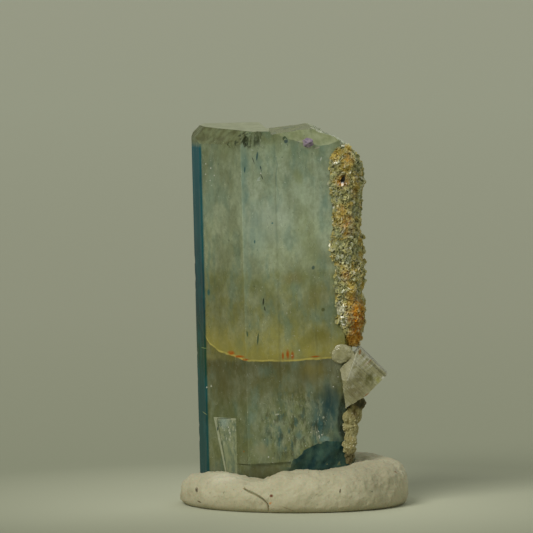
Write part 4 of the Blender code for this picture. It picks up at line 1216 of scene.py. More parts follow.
def scatter_tree(name, mat, sides, standing):
    """Geometry Nodes that cover a bed with flat plates or grains, each with a tone of its own."""
    tree = bpy.data.node_groups.new(name, "GeometryNodeTree")
    ports = tree.interface
    ports.new_socket("Bed", in_out="INPUT", socket_type="NodeSocketGeometry")
    for label in ("Pieces per m2", "Radius", "Thickness"):
        ports.new_socket(label, in_out="INPUT", socket_type="NodeSocketFloat")
    ports.new_socket("Seed", in_out="INPUT", socket_type="NodeSocketInt")
    ports.new_socket("Covered", in_out="OUTPUT", socket_type="NodeSocketGeometry")
    given = add_node(tree, "NodeGroupInput")
    room = add_node(tree, "GeometryNodeInputNamedAttribute", {"Name": "room"}, data_type="FLOAT")
    density = calc(tree, "MULTIPLY", room.outputs["Attribute"], given.outputs["Pieces per m2"])
    points = add_node(
        tree,
        "GeometryNodeDistributePointsOnFaces",
        {"Mesh": given.outputs["Bed"], "Density": density, "Seed": given.outputs["Seed"]},
    )
    plate = add_node(
        tree, "GeometryNodeMeshCylinder", {"Vertices": sides, "Radius": 1.0, "Depth": 1.0}, fill_type="NGON"
    )
    turn = add_node(
        tree,
        "FunctionNodeRandomValue",
        {1: (math.tau, math.tau, math.tau), "Seed": given.outputs["Seed"]},
        data_type="FLOAT_VECTOR",
    )
    lie = add_node(
        tree,
        "FunctionNodeAlignRotationToVector",
        {"Rotation": turn.outputs[0], "Factor": standing, "Vector": points.outputs["Normal"]},
        axis="Z",
    )
    swell = add_node(tree, "FunctionNodeRandomValue", {2: 0.45, 3: 1.0, "Seed": 3}, data_type="FLOAT")
    length = calc(tree, "MULTIPLY", swell.outputs[1], given.outputs["Radius"])
    narrow = add_node(tree, "FunctionNodeRandomValue", {2: 0.6, 3: 1.0, "Seed": 5}, data_type="FLOAT")
    size = add_node(
        tree,
        "ShaderNodeCombineXYZ",
        {0: length, 1: calc(tree, "MULTIPLY", length, narrow.outputs[1]), 2: given.outputs["Thickness"]},
    )
    laid = add_node(
        tree,
        "GeometryNodeInstanceOnPoints",
        {
            "Points": points.outputs["Points"],
            "Instance": plate.outputs["Mesh"],
            "Rotation": lie.outputs[0],
            "Scale": size.outputs[0],
        },
    )
    shade = add_node(tree, "FunctionNodeRandomValue", {2: 0.12, 3: 1.0, "Seed": 7}, data_type="FLOAT")
    toned = add_node(
        tree,
        "GeometryNodeStoreNamedAttribute",
        {"Geometry": laid.outputs[0], "Name": "tone", "Value": shade.outputs[1]},
        data_type="FLOAT",
        domain="INSTANCE",
    )
    whole = add_node(tree, "GeometryNodeJoinGeometry", {0: toned.outputs[0]})
    tree.links.new(given.outputs["Bed"], whole.inputs[0])
    real = add_node(tree, "GeometryNodeRealizeInstances", {0: whole.outputs[0]})
    finished = add_node(tree, "GeometryNodeSetMaterial", {0: real.outputs[0], "Material": mat})
    add_node(tree, "NodeGroupOutput", {0: finished.outputs[0]})
    return tree


def cover(obj, tree, **values):
    """Runs a scatter tree on the object and keeps what it makes as plain mesh."""
    modifier = obj.modifiers.new("cover", "NODES")
    modifier.node_group = tree
    for item in tree.interface.items_tree:
        label = item.name.replace(" ", "_").lower()
        if item.in_out == "INPUT" and label in values:
            modifier[item.identifier] = values[label]
    bake_modifiers(obj)


crust = build_crust()
cover(
    crust,
    scatter_tree("mica_flakes", mica_flake_material(), 6, FLAKES_LIE),
    pieces_per_m2=FLAKES_PER_MM2 / MM**2,
    radius=FLAKE_RADIUS,
    thickness=FLAKE_THICKNESS,
    seed=11,
)
crust.data.transform(CRYSTAL)
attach(crust, "root")
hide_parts("muscovite_crust")

# Muscovite book. A thick six-sided pile of clear mica sheets that grew on the crystal's edge,
# cleaved on its right side, with a small cloudy lump beside it where it meets the beryl.
BOOK_AXIS = Vector((0.709, 0.0, 0.705))
BOOK_TILT_DEG = 45.2
BOOK_START = 14.3 * MM
BOOK_END = 21.0 * MM
BOOK_SHEETS = 34
SHEET_GAP = 0.008 * MM
# Thickness of the packets against one another, how often their rims step, and how far in mm.
SHEET_SHARES = (0.35, 1.6)
STEP_CHANCE = 0.4
PACKET_INSET = 0.12
SHEET_INSET = 0.035
BLANK_MIDDLE = Vector((10.0, -3.0, 15.0)) * MM
BLANK_SIZE = 30.0 * MM
CLOSE_SEAM = SEAM * 0.3
# The book's flat sides: outward direction and distance from the crystal's foot.
BOOK_PLANES = [
    (Vector((0.705, 0.0, -0.709)), -1.35 * MM),
    (Vector((-0.705, 0.0, 0.709)), 6.2 * MM),
    (Vector((0.129, -0.992, 0.0)), 6.12 * MM),
    (Vector((0.643, -0.766, 0.0)), 12.3 * MM),
    (Vector((-0.62, -0.45, 0.64)), 7.95 * MM),
    (Vector((0.5, 0.866, 0.0)), 6.7 * MM),
    (Vector((0.0, 1.0, 0.0)), 0.9 * MM),
    (Vector((-0.565, -0.787, 0.249)), 2.74 * MM),
    (Vector((-0.992, 0.0, -0.128)), -10.01 * MM),
    (Vector((0.48, 0.0, -0.877)), -6.14 * MM),
]
LUMP_CENTRE = (8.3, -3.9, 18.45)
LUMP_RADII = (1.55, 0.6, 1.1)
LUMP_COLOURED = (LUMP_CENTRE, (1.9, 1.6, 1.4), 0.4)
# The stripes at the pile's end face, along the sheets' normal in mm, and its dark last sheets.
END_STRIPES = (19.2, 20.6)
END_DARK = 20.55
# The smooth narrow face on the left, painted pale as lit: its slope and right edge, the painted highlight
# line along its ridge and that line's half width, and its foot.
FACET_SLOPE = 0.362
FACET_EDGE = 3.34
FACET_HIGHLIGHT = 3.4
FACET_HIGHLIGHT_HALF = 0.07
FACET_FOOT = 15.2
# Stains and bright cleavage on the book, and one painted glint: centre, radii, turn about Y, colour,
# strength.
BOOK_MARKS = [
    ((9.6, -4.9, 17.2), (1.3, 1.2, 2.6), 20.0, "#F4F2DC", 0.85),
    ((11.4, -4.6, 18.4), (1.5, 1.2, 0.5), 45.0, "#FBFBEE", 0.85),
    ((12.9, -4.5, 16.7), (1.3, 1.2, 0.14), 45.0, "#F6F6E6", 0.8),
    ((11.2, -4.6, 17.9), (0.12, 1.2, 0.9), 45.0, "#FFFFF4", 0.85),
    ((11.9, -4.6, 16.9), (0.12, 1.2, 0.8), 50.0, "#F6F7E6", 0.8),
    ((11.5, -4.6, 17.35), (0.9, 1.2, 0.13), -36.0, "#B0681E", 0.95),
    ((12.2, -4.5, 17.95), (0.6, 1.2, 0.13), -36.0, "#B4701E", 0.9),
    ((10.55, -4.8, 18.7), (0.22, 1.2, 0.45), 10.0, "#BC7426", 0.9),
    ((11.7, -4.6, 15.2), (0.85, 1.2, 1.2), 15.0, "#6A6A22", 0.8),
    ((12.9, -4.5, 14.9), (1.1, 1.2, 0.7), 45.0, "#C4C462", 0.75),
    ((11.2, -4.7, 13.2), (0.7, 1.2, 0.2), -45.0, "#B46E1C", 0.9),
    ((9.9, -4.9, 13.6), (1.4, 1.2, 1.6), 0.0, "#948A5E", 0.6),
    ((10.3, -4.8, 15.6), (0.8, 1.2, 1.4), 20.0, "#857F52", 0.55),
    # Painted glint on the tip.
    ((13.35, -4.4, 15.35), (0.26, 1.2, 0.3), 0.0, "#FFFFFA", 1.0),
    ((9.0, -5.0, 11.95), (0.3, 1.2, 0.14), 0.0, "#FFFFF4", 0.9),
]


def join_into(target, others):
    """Adds the others' faces to the target's mesh, and removes them."""
    bm = bmesh.new()
    bm.from_mesh(target.data)
    for other in others:
        bm.from_mesh(other.data)
        bpy.data.objects.remove(other, do_unlink=True)
    bm.to_mesh(target.data)
    bm.free()


def keep_off_prism(gap):
    """The room of the prism, which its neighbours stay out of."""
    return add_object("keep_off", extrude_outline(outline(gap), -5.0 * MM, PRISM_LENGTH + 5.0 * MM))


def mica_sheet(low, high, insets):
    """One packet of sheets, a flat slab with the book's outline."""
    bm = bmesh.new()
    bmesh.ops.create_cube(bm, size=BLANK_SIZE)
    bmesh.ops.transform(bm, matrix=Matrix.Translation(BLANK_MIDDLE), verts=bm.verts)
    shave(bm, BOOK_AXIS * high, BOOK_AXIS)
    shave(bm, BOOK_AXIS * low, -BOOK_AXIS)
    for (normal, distance), inset in zip(BOOK_PLANES, insets):
        unit = normal.normalized()
        shave(bm, unit * (distance / normal.length - inset), unit)
    return add_object("sheet", bm)


def build_book(mat):
    rng = random.Random(5)
    edges = [0.0]
    for _ in range(BOOK_SHEETS):
        edges.append(edges[-1] + rng.uniform(*SHEET_SHARES))
    scale = (BOOK_END - BOOK_START) / edges[-1]
    sheets = []
    packet = [0.0] * len(BOOK_PLANES)
    for low, high in zip(edges, edges[1:]):
        if rng.random() < STEP_CHANCE:
            packet = [rng.uniform(0.0, PACKET_INSET) for _ in BOOK_PLANES]
        insets = [(share + rng.uniform(0.0, SHEET_INSET)) * MM for share in packet]
        sheets.append(mica_sheet(BOOK_START + low * scale, BOOK_START + high * scale - SHEET_GAP, insets))
    book = sheets[0]
    book.name = book.data.name = "mica_book"
    join_into(book, sheets[1:])
    lump = rough_ball(LUMP_CENTRE, LUMP_RADII, 0.25, 9, 5)
    carve(lump, [keep_off_prism(CLOSE_SEAM)])
    carve(book, [keep_off_prism(CLOSE_SEAM)])
    join_into(book, [lump])
    book.data.materials.append(mat)
    crisp_edges(book, 20.0)
    return book


def mica_sheet_material():
    """Muscovite in sheets: clear to silvery, with stripes where cleavage lets air in, and painted highlights
    flashing on it.
    """
    mat, tree, shader = new_material("cleaved_muscovite_sheets")
    coords = crystal_mm(tree)
    turned = (0.0, math.radians(BOOK_TILT_DEG), 0.0)
    along = add_node(tree, "ShaderNodeMapping", {"Vector": coords, "Rotation": turned}).outputs[0]
    leaves = speckle(tree, along, 1.0, (4.0, 0.3, 0.3), 5.0, 0.4, 0.6)
    base = tint(tree, "#BCB88C", "#ECEBD0", leaves, 0.22)
    cloud = speckle(tree, coords, 0.9, detail=8.0, low=0.42, high=0.6, shift=(2.0, 2.0, 2.0))
    base = tint(tree, base, "#8E8858", cloud, 0.5)
    # Painted highlights: bright flecks where the sheets flash.
    painted_flash = speckle(tree, coords, 1.6, detail=6.0, low=0.54, high=0.66, shift=(6.0, 1.0, 4.0))
    base = tint(tree, base, "#F4F4DE", painted_flash, 0.6)
    for centre, radii, turn, code, strength in BOOK_MARKS:
        mask = patch(tree, coords, centre, radii, 0.7, (0.0, turn, 0.0))
        torn = speckle(tree, coords, 1.6, detail=4.0, low=0.25, high=0.55, shift=centre)
        base = tint(tree, base, code, mask, torn, strength)
    lump = patch(tree, coords, *LUMP_COLOURED)
    base = tint(tree, base, mix(tree, painted_flash, "#8A8844", "#BCB778"), lump, 0.7)

    # Near the pile's end face, air between the leaves draws white stripes along and across it.
    depth = add_node(tree, "ShaderNodeSeparateXYZ", {0: along}).outputs["X"]
    ends = add_node(
        tree, "ShaderNodeMapRange", {"Value": depth, "From Min": END_STRIPES[0], "From Max": END_STRIPES[1]}
    )
    across = speckle(tree, along, 1.0, (0.25, 0.25, 2.6), 5.0, 0.5, 0.6, (0.0, 3.0, 1.0))
    base = tint(tree, base, "#FAFAEC", ends.outputs["Result"], across, 0.8)
    base = tint(tree, base, "#6E6C48", calc(tree, "GREATER_THAN", depth, END_DARK), 0.55, leaves)

    # Painted light: the narrow face on its left, cleaved smooth, is painted pale beside the main one, with a
    # painted highlight line along its ridge.
    axes = add_node(tree, "ShaderNodeSeparateXYZ", {0: coords}).outputs
    slant = calc(tree, "MULTIPLY_ADD", axes["Z"], -FACET_SLOPE, axes["X"])
    over_foot = calc(tree, "GREATER_THAN", axes["Z"], FACET_FOOT)
    veins = speckle(tree, coords, 1.4, (1.0, 1.0, 0.4), 5.0, 0.4, 0.6, (5.0, 0.0, 2.0))
    pale = mix(tree, veins, "#E6E2C0", "#C6C19A")
    base = tint(tree, base, pale, calc(tree, "LESS_THAN", slant, FACET_EDGE), over_foot, 0.7)
    off_highlight = calc(tree, "ABSOLUTE", calc(tree, "SUBTRACT", slant, FACET_HIGHLIGHT))
    base = tint(tree, base, "#F8F7E4", calc(tree, "LESS_THAN", off_highlight, FACET_HIGHLIGHT_HALF), over_foot, 0.8)
    tree.links.new(base, shader.inputs["Base Color"])
    gloss = add_node(tree, "ShaderNodeMapRange", {"Value": cloud, "To Min": 0.08, "To Max": 0.3})
    tree.links.new(gloss.outputs["Result"], shader.inputs["Roughness"])
    shader.inputs["IOR"].default_value = 1.58
    shader.inputs["Transmission Weight"].default_value = 0.4
    steps = add_node(tree, "ShaderNodeBump", {"Height": leaves, "Strength": 0.25, "Distance": 0.05 * MM})
    tree.links.new(steps.outputs["Normal"], shader.inputs["Normal"])
    return mat


book = build_book(mica_sheet_material())
book.data.transform(CRYSTAL)
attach(book, "root")
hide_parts("muscovite_book")

# Matrix. A strip of the rock that the crystal grew on, left on its lower right edge: sugary
# feldspar and mica grains, broken off below the book and stained brown at both ends.
MATRIX_GRAINS = [
    ((9.95, -2.2, 12.3), 1.0),
    ((9.8, -1.2, 12.1), 1.05),
    ((9.7, -2.6, 11.4), 0.95),
    ((9.3, -2.0, 10.7), 0.85),
    ((8.95, -3.5, 10.3), 0.75),
    ((9.2, -2.2, 9.8), 0.7),
    ((8.95, -3.4, 9.3), 0.85),
    ((9.25, -2.2, 8.7), 0.72),
    ((9.05, -3.5, 8.2), 0.8),
    ((9.2, -2.4, 7.7), 0.7),
    ((8.9, -3.5, 7.2), 0.75),
    ((9.05, -2.6, 6.7), 0.65),
    ((8.85, -3.4, 6.3), 0.7),
    ((8.95, -2.7, 5.8), 0.6),
    ((8.75, -3.3, 5.6), 0.55),
]
GRAIN_ROUGH = 0.5
GRAIN_SEED = 20
# Every third grain is this much taller than wide, and the next one twice as much.
GRAIN_TALLER = 0.5
# Sugar stands on the faces turned outwards below this height, in mm, and thinly elsewhere.
SUGAR_SIDE = Vector((0.9, -0.45, 0.0))
SUGAR_TURNED = -0.35
SUGAR_TOP = 10.8
SUGAR_THIN = 0.12
SUGAR_PER_MM2 = 10.0
SUGAR_RADIUS = 0.12 * MM
SUGAR_TONES = [(0.0, "#A19A6C"), (0.3, "#ADA678"), (0.6, "#BDB78C"), (0.85, "#D3CEAA"), (1.0, "#ECE9D6")]
MATRIX_STAINS = [
    ((10.3, -2.2, 12.1), (1.6, 2.8, 1.05), "#403D1E", 1.0),
    ((9.6, -2.6, 10.8), (0.9, 2.2, 0.9), "#857046", 0.6),
    ((8.8, -2.9, 5.3), (1.1, 2.2, 1.5), "#544A2A", 0.85),
    ((9.3, -2.9, 8.6), (0.5, 1.6, 0.7), "#C9C39C", 0.5),
]


def build_matrix():
    lumps = []
    for seed, (centre, radius) in enumerate(MATRIX_GRAINS):
        tall = radius * (1.0 + GRAIN_TALLER * (seed % 3))
        lumps.append(rough_ball(centre, (radius, radius, tall), GRAIN_ROUGH, seed + GRAIN_SEED, 4))
    rock = lumps[0]
    rock.name = rock.data.name = "sugary_matrix"
    carve(rock, lumps[1:], "UNION")
    carve(rock, [keep_off_prism(CLOSE_SEAM)])
    room = rock.data.attributes.new("room", "FLOAT", "POINT")
    for vert in rock.data.vertices:
        facing = Vector((vert.normal.x, vert.normal.y, 0.0)).dot(SUGAR_SIDE)
        sugary = facing > SUGAR_TURNED and vert.co.z < SUGAR_TOP * MM
        room.data[vert.index].value = 1.0 if sugary else SUGAR_THIN
    return rock


def sugary_material():
    """Feldspar sugar: pale dull grains with a little sparkle, darker between them."""
    mat, tree, shader = new_material("sugary_feldspar")
    coords = crystal_mm(tree)
    tone = add_node(tree, "ShaderNodeAttribute", attribute_name="tone", attribute_type="GEOMETRY")
    base = ramp(tree, tone.outputs["Fac"], SUGAR_TONES)
    for centre, radii, code, strength in MATRIX_STAINS:
        base = tint(tree, base, code, patch(tree, coords, centre, radii, 0.5), strength)
    blotch = speckle(tree, coords, 1.5, detail=4.0, low=0.48, high=0.66)
    base = tint(tree, base, "#A08A50", blotch, 0.4)
    tree.links.new(base, shader.inputs["Base Color"])
    gloss = add_node(
        tree, "ShaderNodeMapRange", {"Value": tone.outputs["Fac"], "To Min": 0.75, "To Max": 0.3}
    )
    tree.links.new(gloss.outputs["Result"], shader.inputs["Roughness"])
    shader.inputs["IOR"].default_value = 1.53
    return mat


matrix = build_matrix()
cover(
    matrix,
    scatter_tree("feldspar_sugar", sugary_material(), 5, 0.0),
    pieces_per_m2=SUGAR_PER_MM2 / MM**2,
    radius=SUGAR_RADIUS,
    thickness=SUGAR_RADIUS,
    seed=4,
)
matrix.data.transform(CRYSTAL)
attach(matrix, "root")
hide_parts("matrix")

# Fluorite grain. One small violet crystal that grew on the beryl's broken shoulder, with a
# few pale mica scales round its foot.
GRAIN_CENTRE = Vector((4.7, -5.05, 45.0)) * MM
GRAIN_RADIUS = 0.55 * MM
GRAIN_TURN_DEG = (35.0, 28.0)
GRAIN_CORNERS = 0.72
GRAIN_STRETCH = (1.0, 0.8, 0.78)
# Corroded skin: height against the radius, and size.
GRAIN_SKIN = 0.07
GRAIN_SKIN_SIZE = 0.35 * MM
GRAIN_CORES = ((4.5, -5.3, 45.1), (4.95, -5.2, 44.95))


def build_fluorite(mat):
    bm = bmesh.new()
    bmesh.ops.create_cube(bm, size=2.0 * GRAIN_RADIUS)
    tip, spin = [math.radians(angle) for angle in GRAIN_TURN_DEG]
    turn = Matrix.Rotation(spin, 4, "Z") @ Matrix.Rotation(tip, 4, "X")
    for corner in [Vector((x, y, z)) for x in (-1, 1) for y in (-1, 1) for z in (-1, 1)]:
        shave(bm, corner * GRAIN_RADIUS * GRAIN_CORNERS, corner)
    bmesh.ops.subdivide_edges(bm, edges=bm.edges[:], cuts=5, use_grid_fill=True)
    bmesh.ops.triangulate(bm, faces=bm.faces)
    for vert in bm.verts:
        vert.co *= 1.0 + GRAIN_SKIN * roughness_at(vert.co / GRAIN_SKIN_SIZE)
    stretch = Matrix.Diagonal((*GRAIN_STRETCH, 1.0))
    bmesh.ops.transform(bm, matrix=Matrix.Translation(GRAIN_CENTRE) @ stretch @ turn, verts=bm.verts)
    return add_object("violet_grain", bm, mat)


def fluorite_material():
    """Violet fluorite: waxy gloss, darker at its heart and pale where it is thin."""
    mat, tree, shader = new_material("violet_fluorite")
    coords = crystal_mm(tree)
    heart = patch(tree, coords, GRAIN_CENTRE / MM, (0.5, 0.7, 0.42), 0.9)
    blotch = speckle(tree, coords, 2.4, detail=4.0, low=0.35, high=0.6)
    base = mix(tree, blotch, "#C4B6C4", "#A08CB0")
    base = tint(tree, base, "#8A70A0", heart, 0.3)
    for centre in GRAIN_CORES:
        base = tint(tree, base, "#4E3270", patch(tree, coords, centre, (0.2, 0.9, 0.17), 0.9), 0.9)
    tree.links.new(base, shader.inputs["Base Color"])
    shader.inputs["Roughness"].default_value = 0.25
    shader.inputs["IOR"].default_value = 1.434
    shader.inputs["Transmission Weight"].default_value = 0.25
    return mat


fluorite = build_fluorite(fluorite_material())
fluorite.data.transform(CRYSTAL)
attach(fluorite, "root")
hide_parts("fluorite_grain")

# Putty ring. Soft mounting putty rolled into a string by hand, bent round the foot of the
# crystal and pressed down, with its two ends lapped at the front.
RING_HALF_X = 10.9 * MM
RING_HALF_Y = 9.7 * MM
ROLL_OUTER_HALF = 3.4 * MM
ROLL_INNER_HALF = 6.6 * MM
# Height of the roll at angles round the ring, from +X towards +Y.
ROLL_CRESTS = [
    (0.0, 5.5),
    (30.0, 5.8),
    (95.0, 5.3),
    (135.0, 4.2),
    (160.0, 3.5),
    (185.0, 3.9),
    (205.0, 4.3),
    (225.0, 4.5),
    (248.0, 4.0),
    (264.0, 4.8),
    (285.0, 4.9),
    (315.0, 5.1),
    (340.0, 5.5),
    (360.0, 5.5),
]
# Where one end of the roll laps the other, as a tongue that points to the left: the angles
# round the ring of its tip and of how far its edges run back, and the tip's angle up the roll.
TONGUE_TIP_DEG = 242.5
TONGUE_TIP_RISE_DEG = 34.0
TONGUE_LOWER_DEG = 14.5
TONGUE_UPPER_DEG = 8.0
CREASE_DEPTH = 0.5 * MM
CREASE_WIDTH = 0.11 * MM
CREASE_WANDER = 0.55 * MM
TONGUE_RADIUS = 12.5 * MM
TONGUE_HEIGHT = 0.2 * MM
TONGUE_PRESSED = 0.12 * MM
TONGUE_FADE = 2.0 * MM
ROLL_FLAT_SHARE = 0.7
RING_STEPS = 620
ROLL_STEPS = 120
SEAM_FROM_DEG = 238.0
SEAM_TO_DEG = 262.0
SEAM_STEP_DEG = 0.16
FOOT_ROUND = 0.2
# The roll's outline: the share of its points on the flat foot at each side, how full its round
# is, and how blunt its flanks are.
FOOT_SHARE = 0.1
ROLL_FULL = 0.72
ROLL_BLUNT = 0.85
# Marks of the hands: bulges, kneading and wrinkles, each with a height in mm and a size.
BULGE = (0.35, 3.2)
KNEAD = 0.13
KNEAD_SHIFT = Vector((5.0, 0.0, 0.0))
WRINKLE = (0.12, 1.5)
WRINKLE_HALF = 0.35
# The lap shows from the foot to the roll's top and fades out inside.
LAP_FADE_RATE = 1.1
LAP_FADE_START = 0.75
CREASE_WAVES = (9.0, 1.6)
PRISM_GAP = SEAM * 0.6
# Pores and dust in the putty, listed as the veils are, and where painted light brightens it, painted shade
# greys it, and painted shade darkens its foot.
PUTTY_VEILS = [
    (3.0, (1.0, 1.0, 1.0), 4.0, 0.56, 0.72, (0.0, 0.0, 0.0), "#9E977C", 0.3),
    (2.0, (1.0, 1.0, 1.0), 3.0, 0.66, 0.72, (9.0, 4.0, 0.0), "#7A7056", 0.6),
]
PAINTED_LIGHT_ROOM = ((-9.5, -9.0, 4.6), (5.0, 5.0, 2.0), 0.9)
PAINTED_SHADE_ROOM = ((10.0, -7.0, 4.0), (6.0, 7.0, 5.0), 0.7)
FOOT_SHADE = (0.2, 2.2)
# Grit pressed into the putty, and painted shade in its folds: centre, radii, turn about Y, colour.
GRIT_AND_FOLD_SHADE = [
    ((-12.2, -6.5, 2.3), (0.22, 1.6, 0.42), 0.0, "#4A3E2C"),
    ((-8.3, -9.6, 4.3), (0.34, 1.2, 0.2), 0.0, "#3A3428"),
    ((-2.9, -13.0, 2.2), (0.34, 1.2, 0.26), 0.0, "#7A4630"),
    ((-3.0, -13.0, 1.3), (0.3, 1.2, 0.18), -20.0, "#C9905A"),
    ((5.6, -12.2, 2.7), (0.14, 1.2, 0.4), 10.0, "#55503F"),
    ((3.4, -11.2, 5.2), (0.14, 1.2, 0.14), 0.0, "#6E6650"),
    ((-6.6, -12.2, 2.6), (0.1, 1.2, 0.14), 0.0, "#7B6F55"),
    ((9.6, -9.4, 2.4), (0.12, 1.2, 0.1), 0.0, "#6A6350"),
    ((-8.0, -11.8, 1.0), (0.16, 1.2, 0.16), 0.0, "#5A4E38"),
    ((-11.9, -7.4, 0.9), (0.4, 1.6, 0.12), 15.0, "#6A5F48"),
    ((7.9, -9.9, 5.3), (0.4, 1.2, 0.12), 35.0, "#8A8878"),
    ((12.6, -5.6, 4.4), (0.3, 1.6, 0.1), 25.0, "#8C6A4E"),
    ((-0.8, -13.1, 0.6), (1.1, 1.4, 0.08), 22.0, "#8F8568"),
]


def crest(angle):
    """Height of the roll at an angle round the ring, from +X towards +Y."""
    turn = math.degrees(angle) % 360.0
    for (start, low), (end, high) in zip(ROLL_CRESTS, ROLL_CRESTS[1:]):
        if start <= turn <= end:
            share = (1.0 - math.cos(math.pi * (turn - start) / (end - start))) / 2.0
            return (low + (high - low) * share) * MM
    return ROLL_CRESTS[0][1] * MM


def overlap(angle, turn):
    """How far the putty stands out where one end of the roll laps the other."""
    rise = math.degrees(turn)
    if rise < TONGUE_TIP_RISE_DEG:
        run_back = TONGUE_LOWER_DEG * (1.0 - rise / TONGUE_TIP_RISE_DEG)
    else:
        run_back = TONGUE_UPPER_DEG * (rise - TONGUE_TIP_RISE_DEG) / (90.0 - TONGUE_TIP_RISE_DEG)
    beyond = (angle - math.radians(TONGUE_TIP_DEG + run_back)) * TONGUE_RADIUS
    round_ring, up_roll = CREASE_WAVES
    beyond += CREASE_WANDER * noise.noise(Vector((angle * round_ring, turn * up_roll, 3.0)))
    groove = -CREASE_DEPTH * math.exp(-((beyond / CREASE_WIDTH) ** 2))
    if beyond > 0.0:
        step = TONGUE_HEIGHT * math.exp(-beyond / TONGUE_FADE)
    else:
        step = -TONGUE_PRESSED * math.exp(beyond / TONGUE_FADE)
    fade = max(0.0, math.sin(min(turn * LAP_FADE_RATE + LAP_FADE_START, math.pi)))
    return (groove + step) * fade


def roll_section(angle):
    """The roll's outline at one angle: flat below, round above, bulged and dented by hand."""
    middle = Vector((RING_HALF_X * math.cos(angle), RING_HALF_Y * math.sin(angle), 0.0))
    outward = Vector((math.cos(angle) / RING_HALF_X, math.sin(angle) / RING_HALF_Y, 0.0)).normalized()
    high = crest(angle)
    points = []
    for j in range(ROLL_STEPS + 1):
        share = j / ROLL_STEPS
        if share < FOOT_SHARE or share > 1.0 - FOOT_SHARE:
            side = 1.0 if share < 0.5 else -1.0
            half = ROLL_OUTER_HALF if side > 0.0 else ROLL_INNER_HALF
            low = min(share, 1.0 - share) / FOOT_SHARE
            bend = (low - 1.0) * math.pi / 2.0
            across = side * half * (ROLL_FLAT_SHARE + (1.0 - ROLL_FLAT_SHARE) * math.cos(bend))
            up = high * FOOT_ROUND * (1.0 + math.sin(bend))
            turn = 0.0 if side > 0.0 else math.pi
            lift = 0.0
            grip = low
        else:
            turn = math.pi * (share - FOOT_SHARE) / (1.0 - 2.0 * FOOT_SHARE)
            side = math.cos(turn)
            half = ROLL_OUTER_HALF if side > 0.0 else ROLL_INNER_HALF
            lift = math.sin(turn) ** ROLL_FULL
            across = math.copysign(abs(side) ** ROLL_BLUNT, side) * half
            up = high * (FOOT_ROUND + (1.0 - FOOT_ROUND) * lift)
            grip = 1.0
        place = (middle + outward * across + Vector((0.0, 0.0, up))) / MM
        bulge = BULGE[0] * noise.noise(place / BULGE[1]) * MM
        knead = KNEAD * roughness_at(place + KNEAD_SHIFT, 5) * MM
        drag = Vector((place.x + place.z * 0.9, place.y, place.z * 3.4 - place.x * 1.2)) / WRINKLE[1]
        wrinkle = -WRINKLE[0] * max(0.0, WRINKLE_HALF - abs(noise.noise(drag))) * MM
        bulge += (knead + wrinkle) * grip + overlap(angle % math.tau, turn)
        skin = middle + outward * (across + bulge * side * grip)
        points.append(skin + Vector((0.0, 0.0, up + bulge * lift)))
    return points


def build_ring(mat):
    bm = bmesh.new()
    angles = [360.0 * i / RING_STEPS for i in range(RING_STEPS)]
    angles = [a for a in angles if not SEAM_FROM_DEG <= a <= SEAM_TO_DEG]
    fine = round((SEAM_TO_DEG - SEAM_FROM_DEG) / SEAM_STEP_DEG)
    angles += [SEAM_FROM_DEG + SEAM_STEP_DEG * i for i in range(fine + 1)]
    loops = [[bm.verts.new(p) for p in roll_section(math.radians(a))] for a in sorted(angles)]
    for i, loop in enumerate(loops):
        after = loops[(i + 1) % len(loops)]
        for j in range(len(loop)):
            k = (j + 1) % len(loop)
            bm.faces.new((loop[j], after[j], after[k], loop[k]))
    ring = add_object("putty_roll", bm, mat)
    ring.data.transform(Matrix.Translation(BOX_SHIFT))
    room = add_object("room", extrude_outline(outline(PRISM_GAP), -5.0 * MM, PRISM_LENGTH))
    carve(room, [break_slab(*FOOT_CHIP)])
    room.data.transform(CRYSTAL)
    carve(ring, [room])
    keep_largest(ring)
    crisp_edges(ring, 50.0)
    return ring


def putty_material():
    """Mounting putty: dull and greasy, off-white, with dust pressed into it."""
    mat, tree, shader = new_material("off_white_mounting_putty")
    place = add_node(tree, "ShaderNodeTexCoord")
    coords = add_node(
        tree,
        "ShaderNodeMapping",
        {"Vector": place.outputs["Object"], "Scale": (MM, MM, MM)},
        vector_type="TEXTURE",
    ).outputs[0]
    smear = speckle(tree, coords, 0.35, detail=6.0, low=0.3, high=0.7)
    base = mix(tree, smear, "#D2CDB4", "#C3BDA2")
    base = veils(tree, coords, base, PUTTY_VEILS)
    # Painted light brightens the upper left, painted shade greys the right, and painted shade darkens it
    # along its foot.
    base = tint(tree, base, "#EEEAD6", patch(tree, coords, *PAINTED_LIGHT_ROOM), 0.7)
    base = tint(tree, base, "#A29C82", patch(tree, coords, *PAINTED_SHADE_ROOM), 0.4)
    height = add_node(tree, "ShaderNodeSeparateXYZ", {0: coords}).outputs["Z"]
    foot = add_node(
        tree, "ShaderNodeMapRange", {"Value": height, "From Min": FOOT_SHADE[1], "From Max": FOOT_SHADE[0]}
    )
    base = tint(tree, base, "#908868", foot.outputs["Result"], 0.55)
    # Grit, and painted shade in the folds.
    for centre, radii, turn, code in GRIT_AND_FOLD_SHADE:
        mask = patch(tree, coords, centre, radii, 0.5, (0.0, turn, 0.0))
        torn = speckle(tree, coords, 4.0, detail=3.0, low=0.3, high=0.5, shift=centre)
        base = tint(tree, base, code, mask, torn)
    tree.links.new(base, shader.inputs["Base Color"])
    shader.inputs["Roughness"].default_value = 0.72
    shader.inputs["Specular IOR Level"].default_value = 0.3
    shader.inputs["Subsurface Weight"].default_value = 0.08
    shader.inputs["Subsurface Scale"].default_value = 1.0 * MM
    grain = add_node(
        tree, "ShaderNodeTexNoise", {"Vector": coords, "Scale": 2.2, "Detail": 8.0, "Roughness": 0.7}
    )
    bump = add_node(
        tree, "ShaderNodeBump", {"Height": grain.outputs["Fac"], "Strength": 0.7, "Distance": 0.2 * MM}
    )
    tree.links.new(bump.outputs["Normal"], shader.inputs["Normal"])
    return mat


ring = build_ring(putty_material())
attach(ring, "root")
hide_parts("putty_ring")

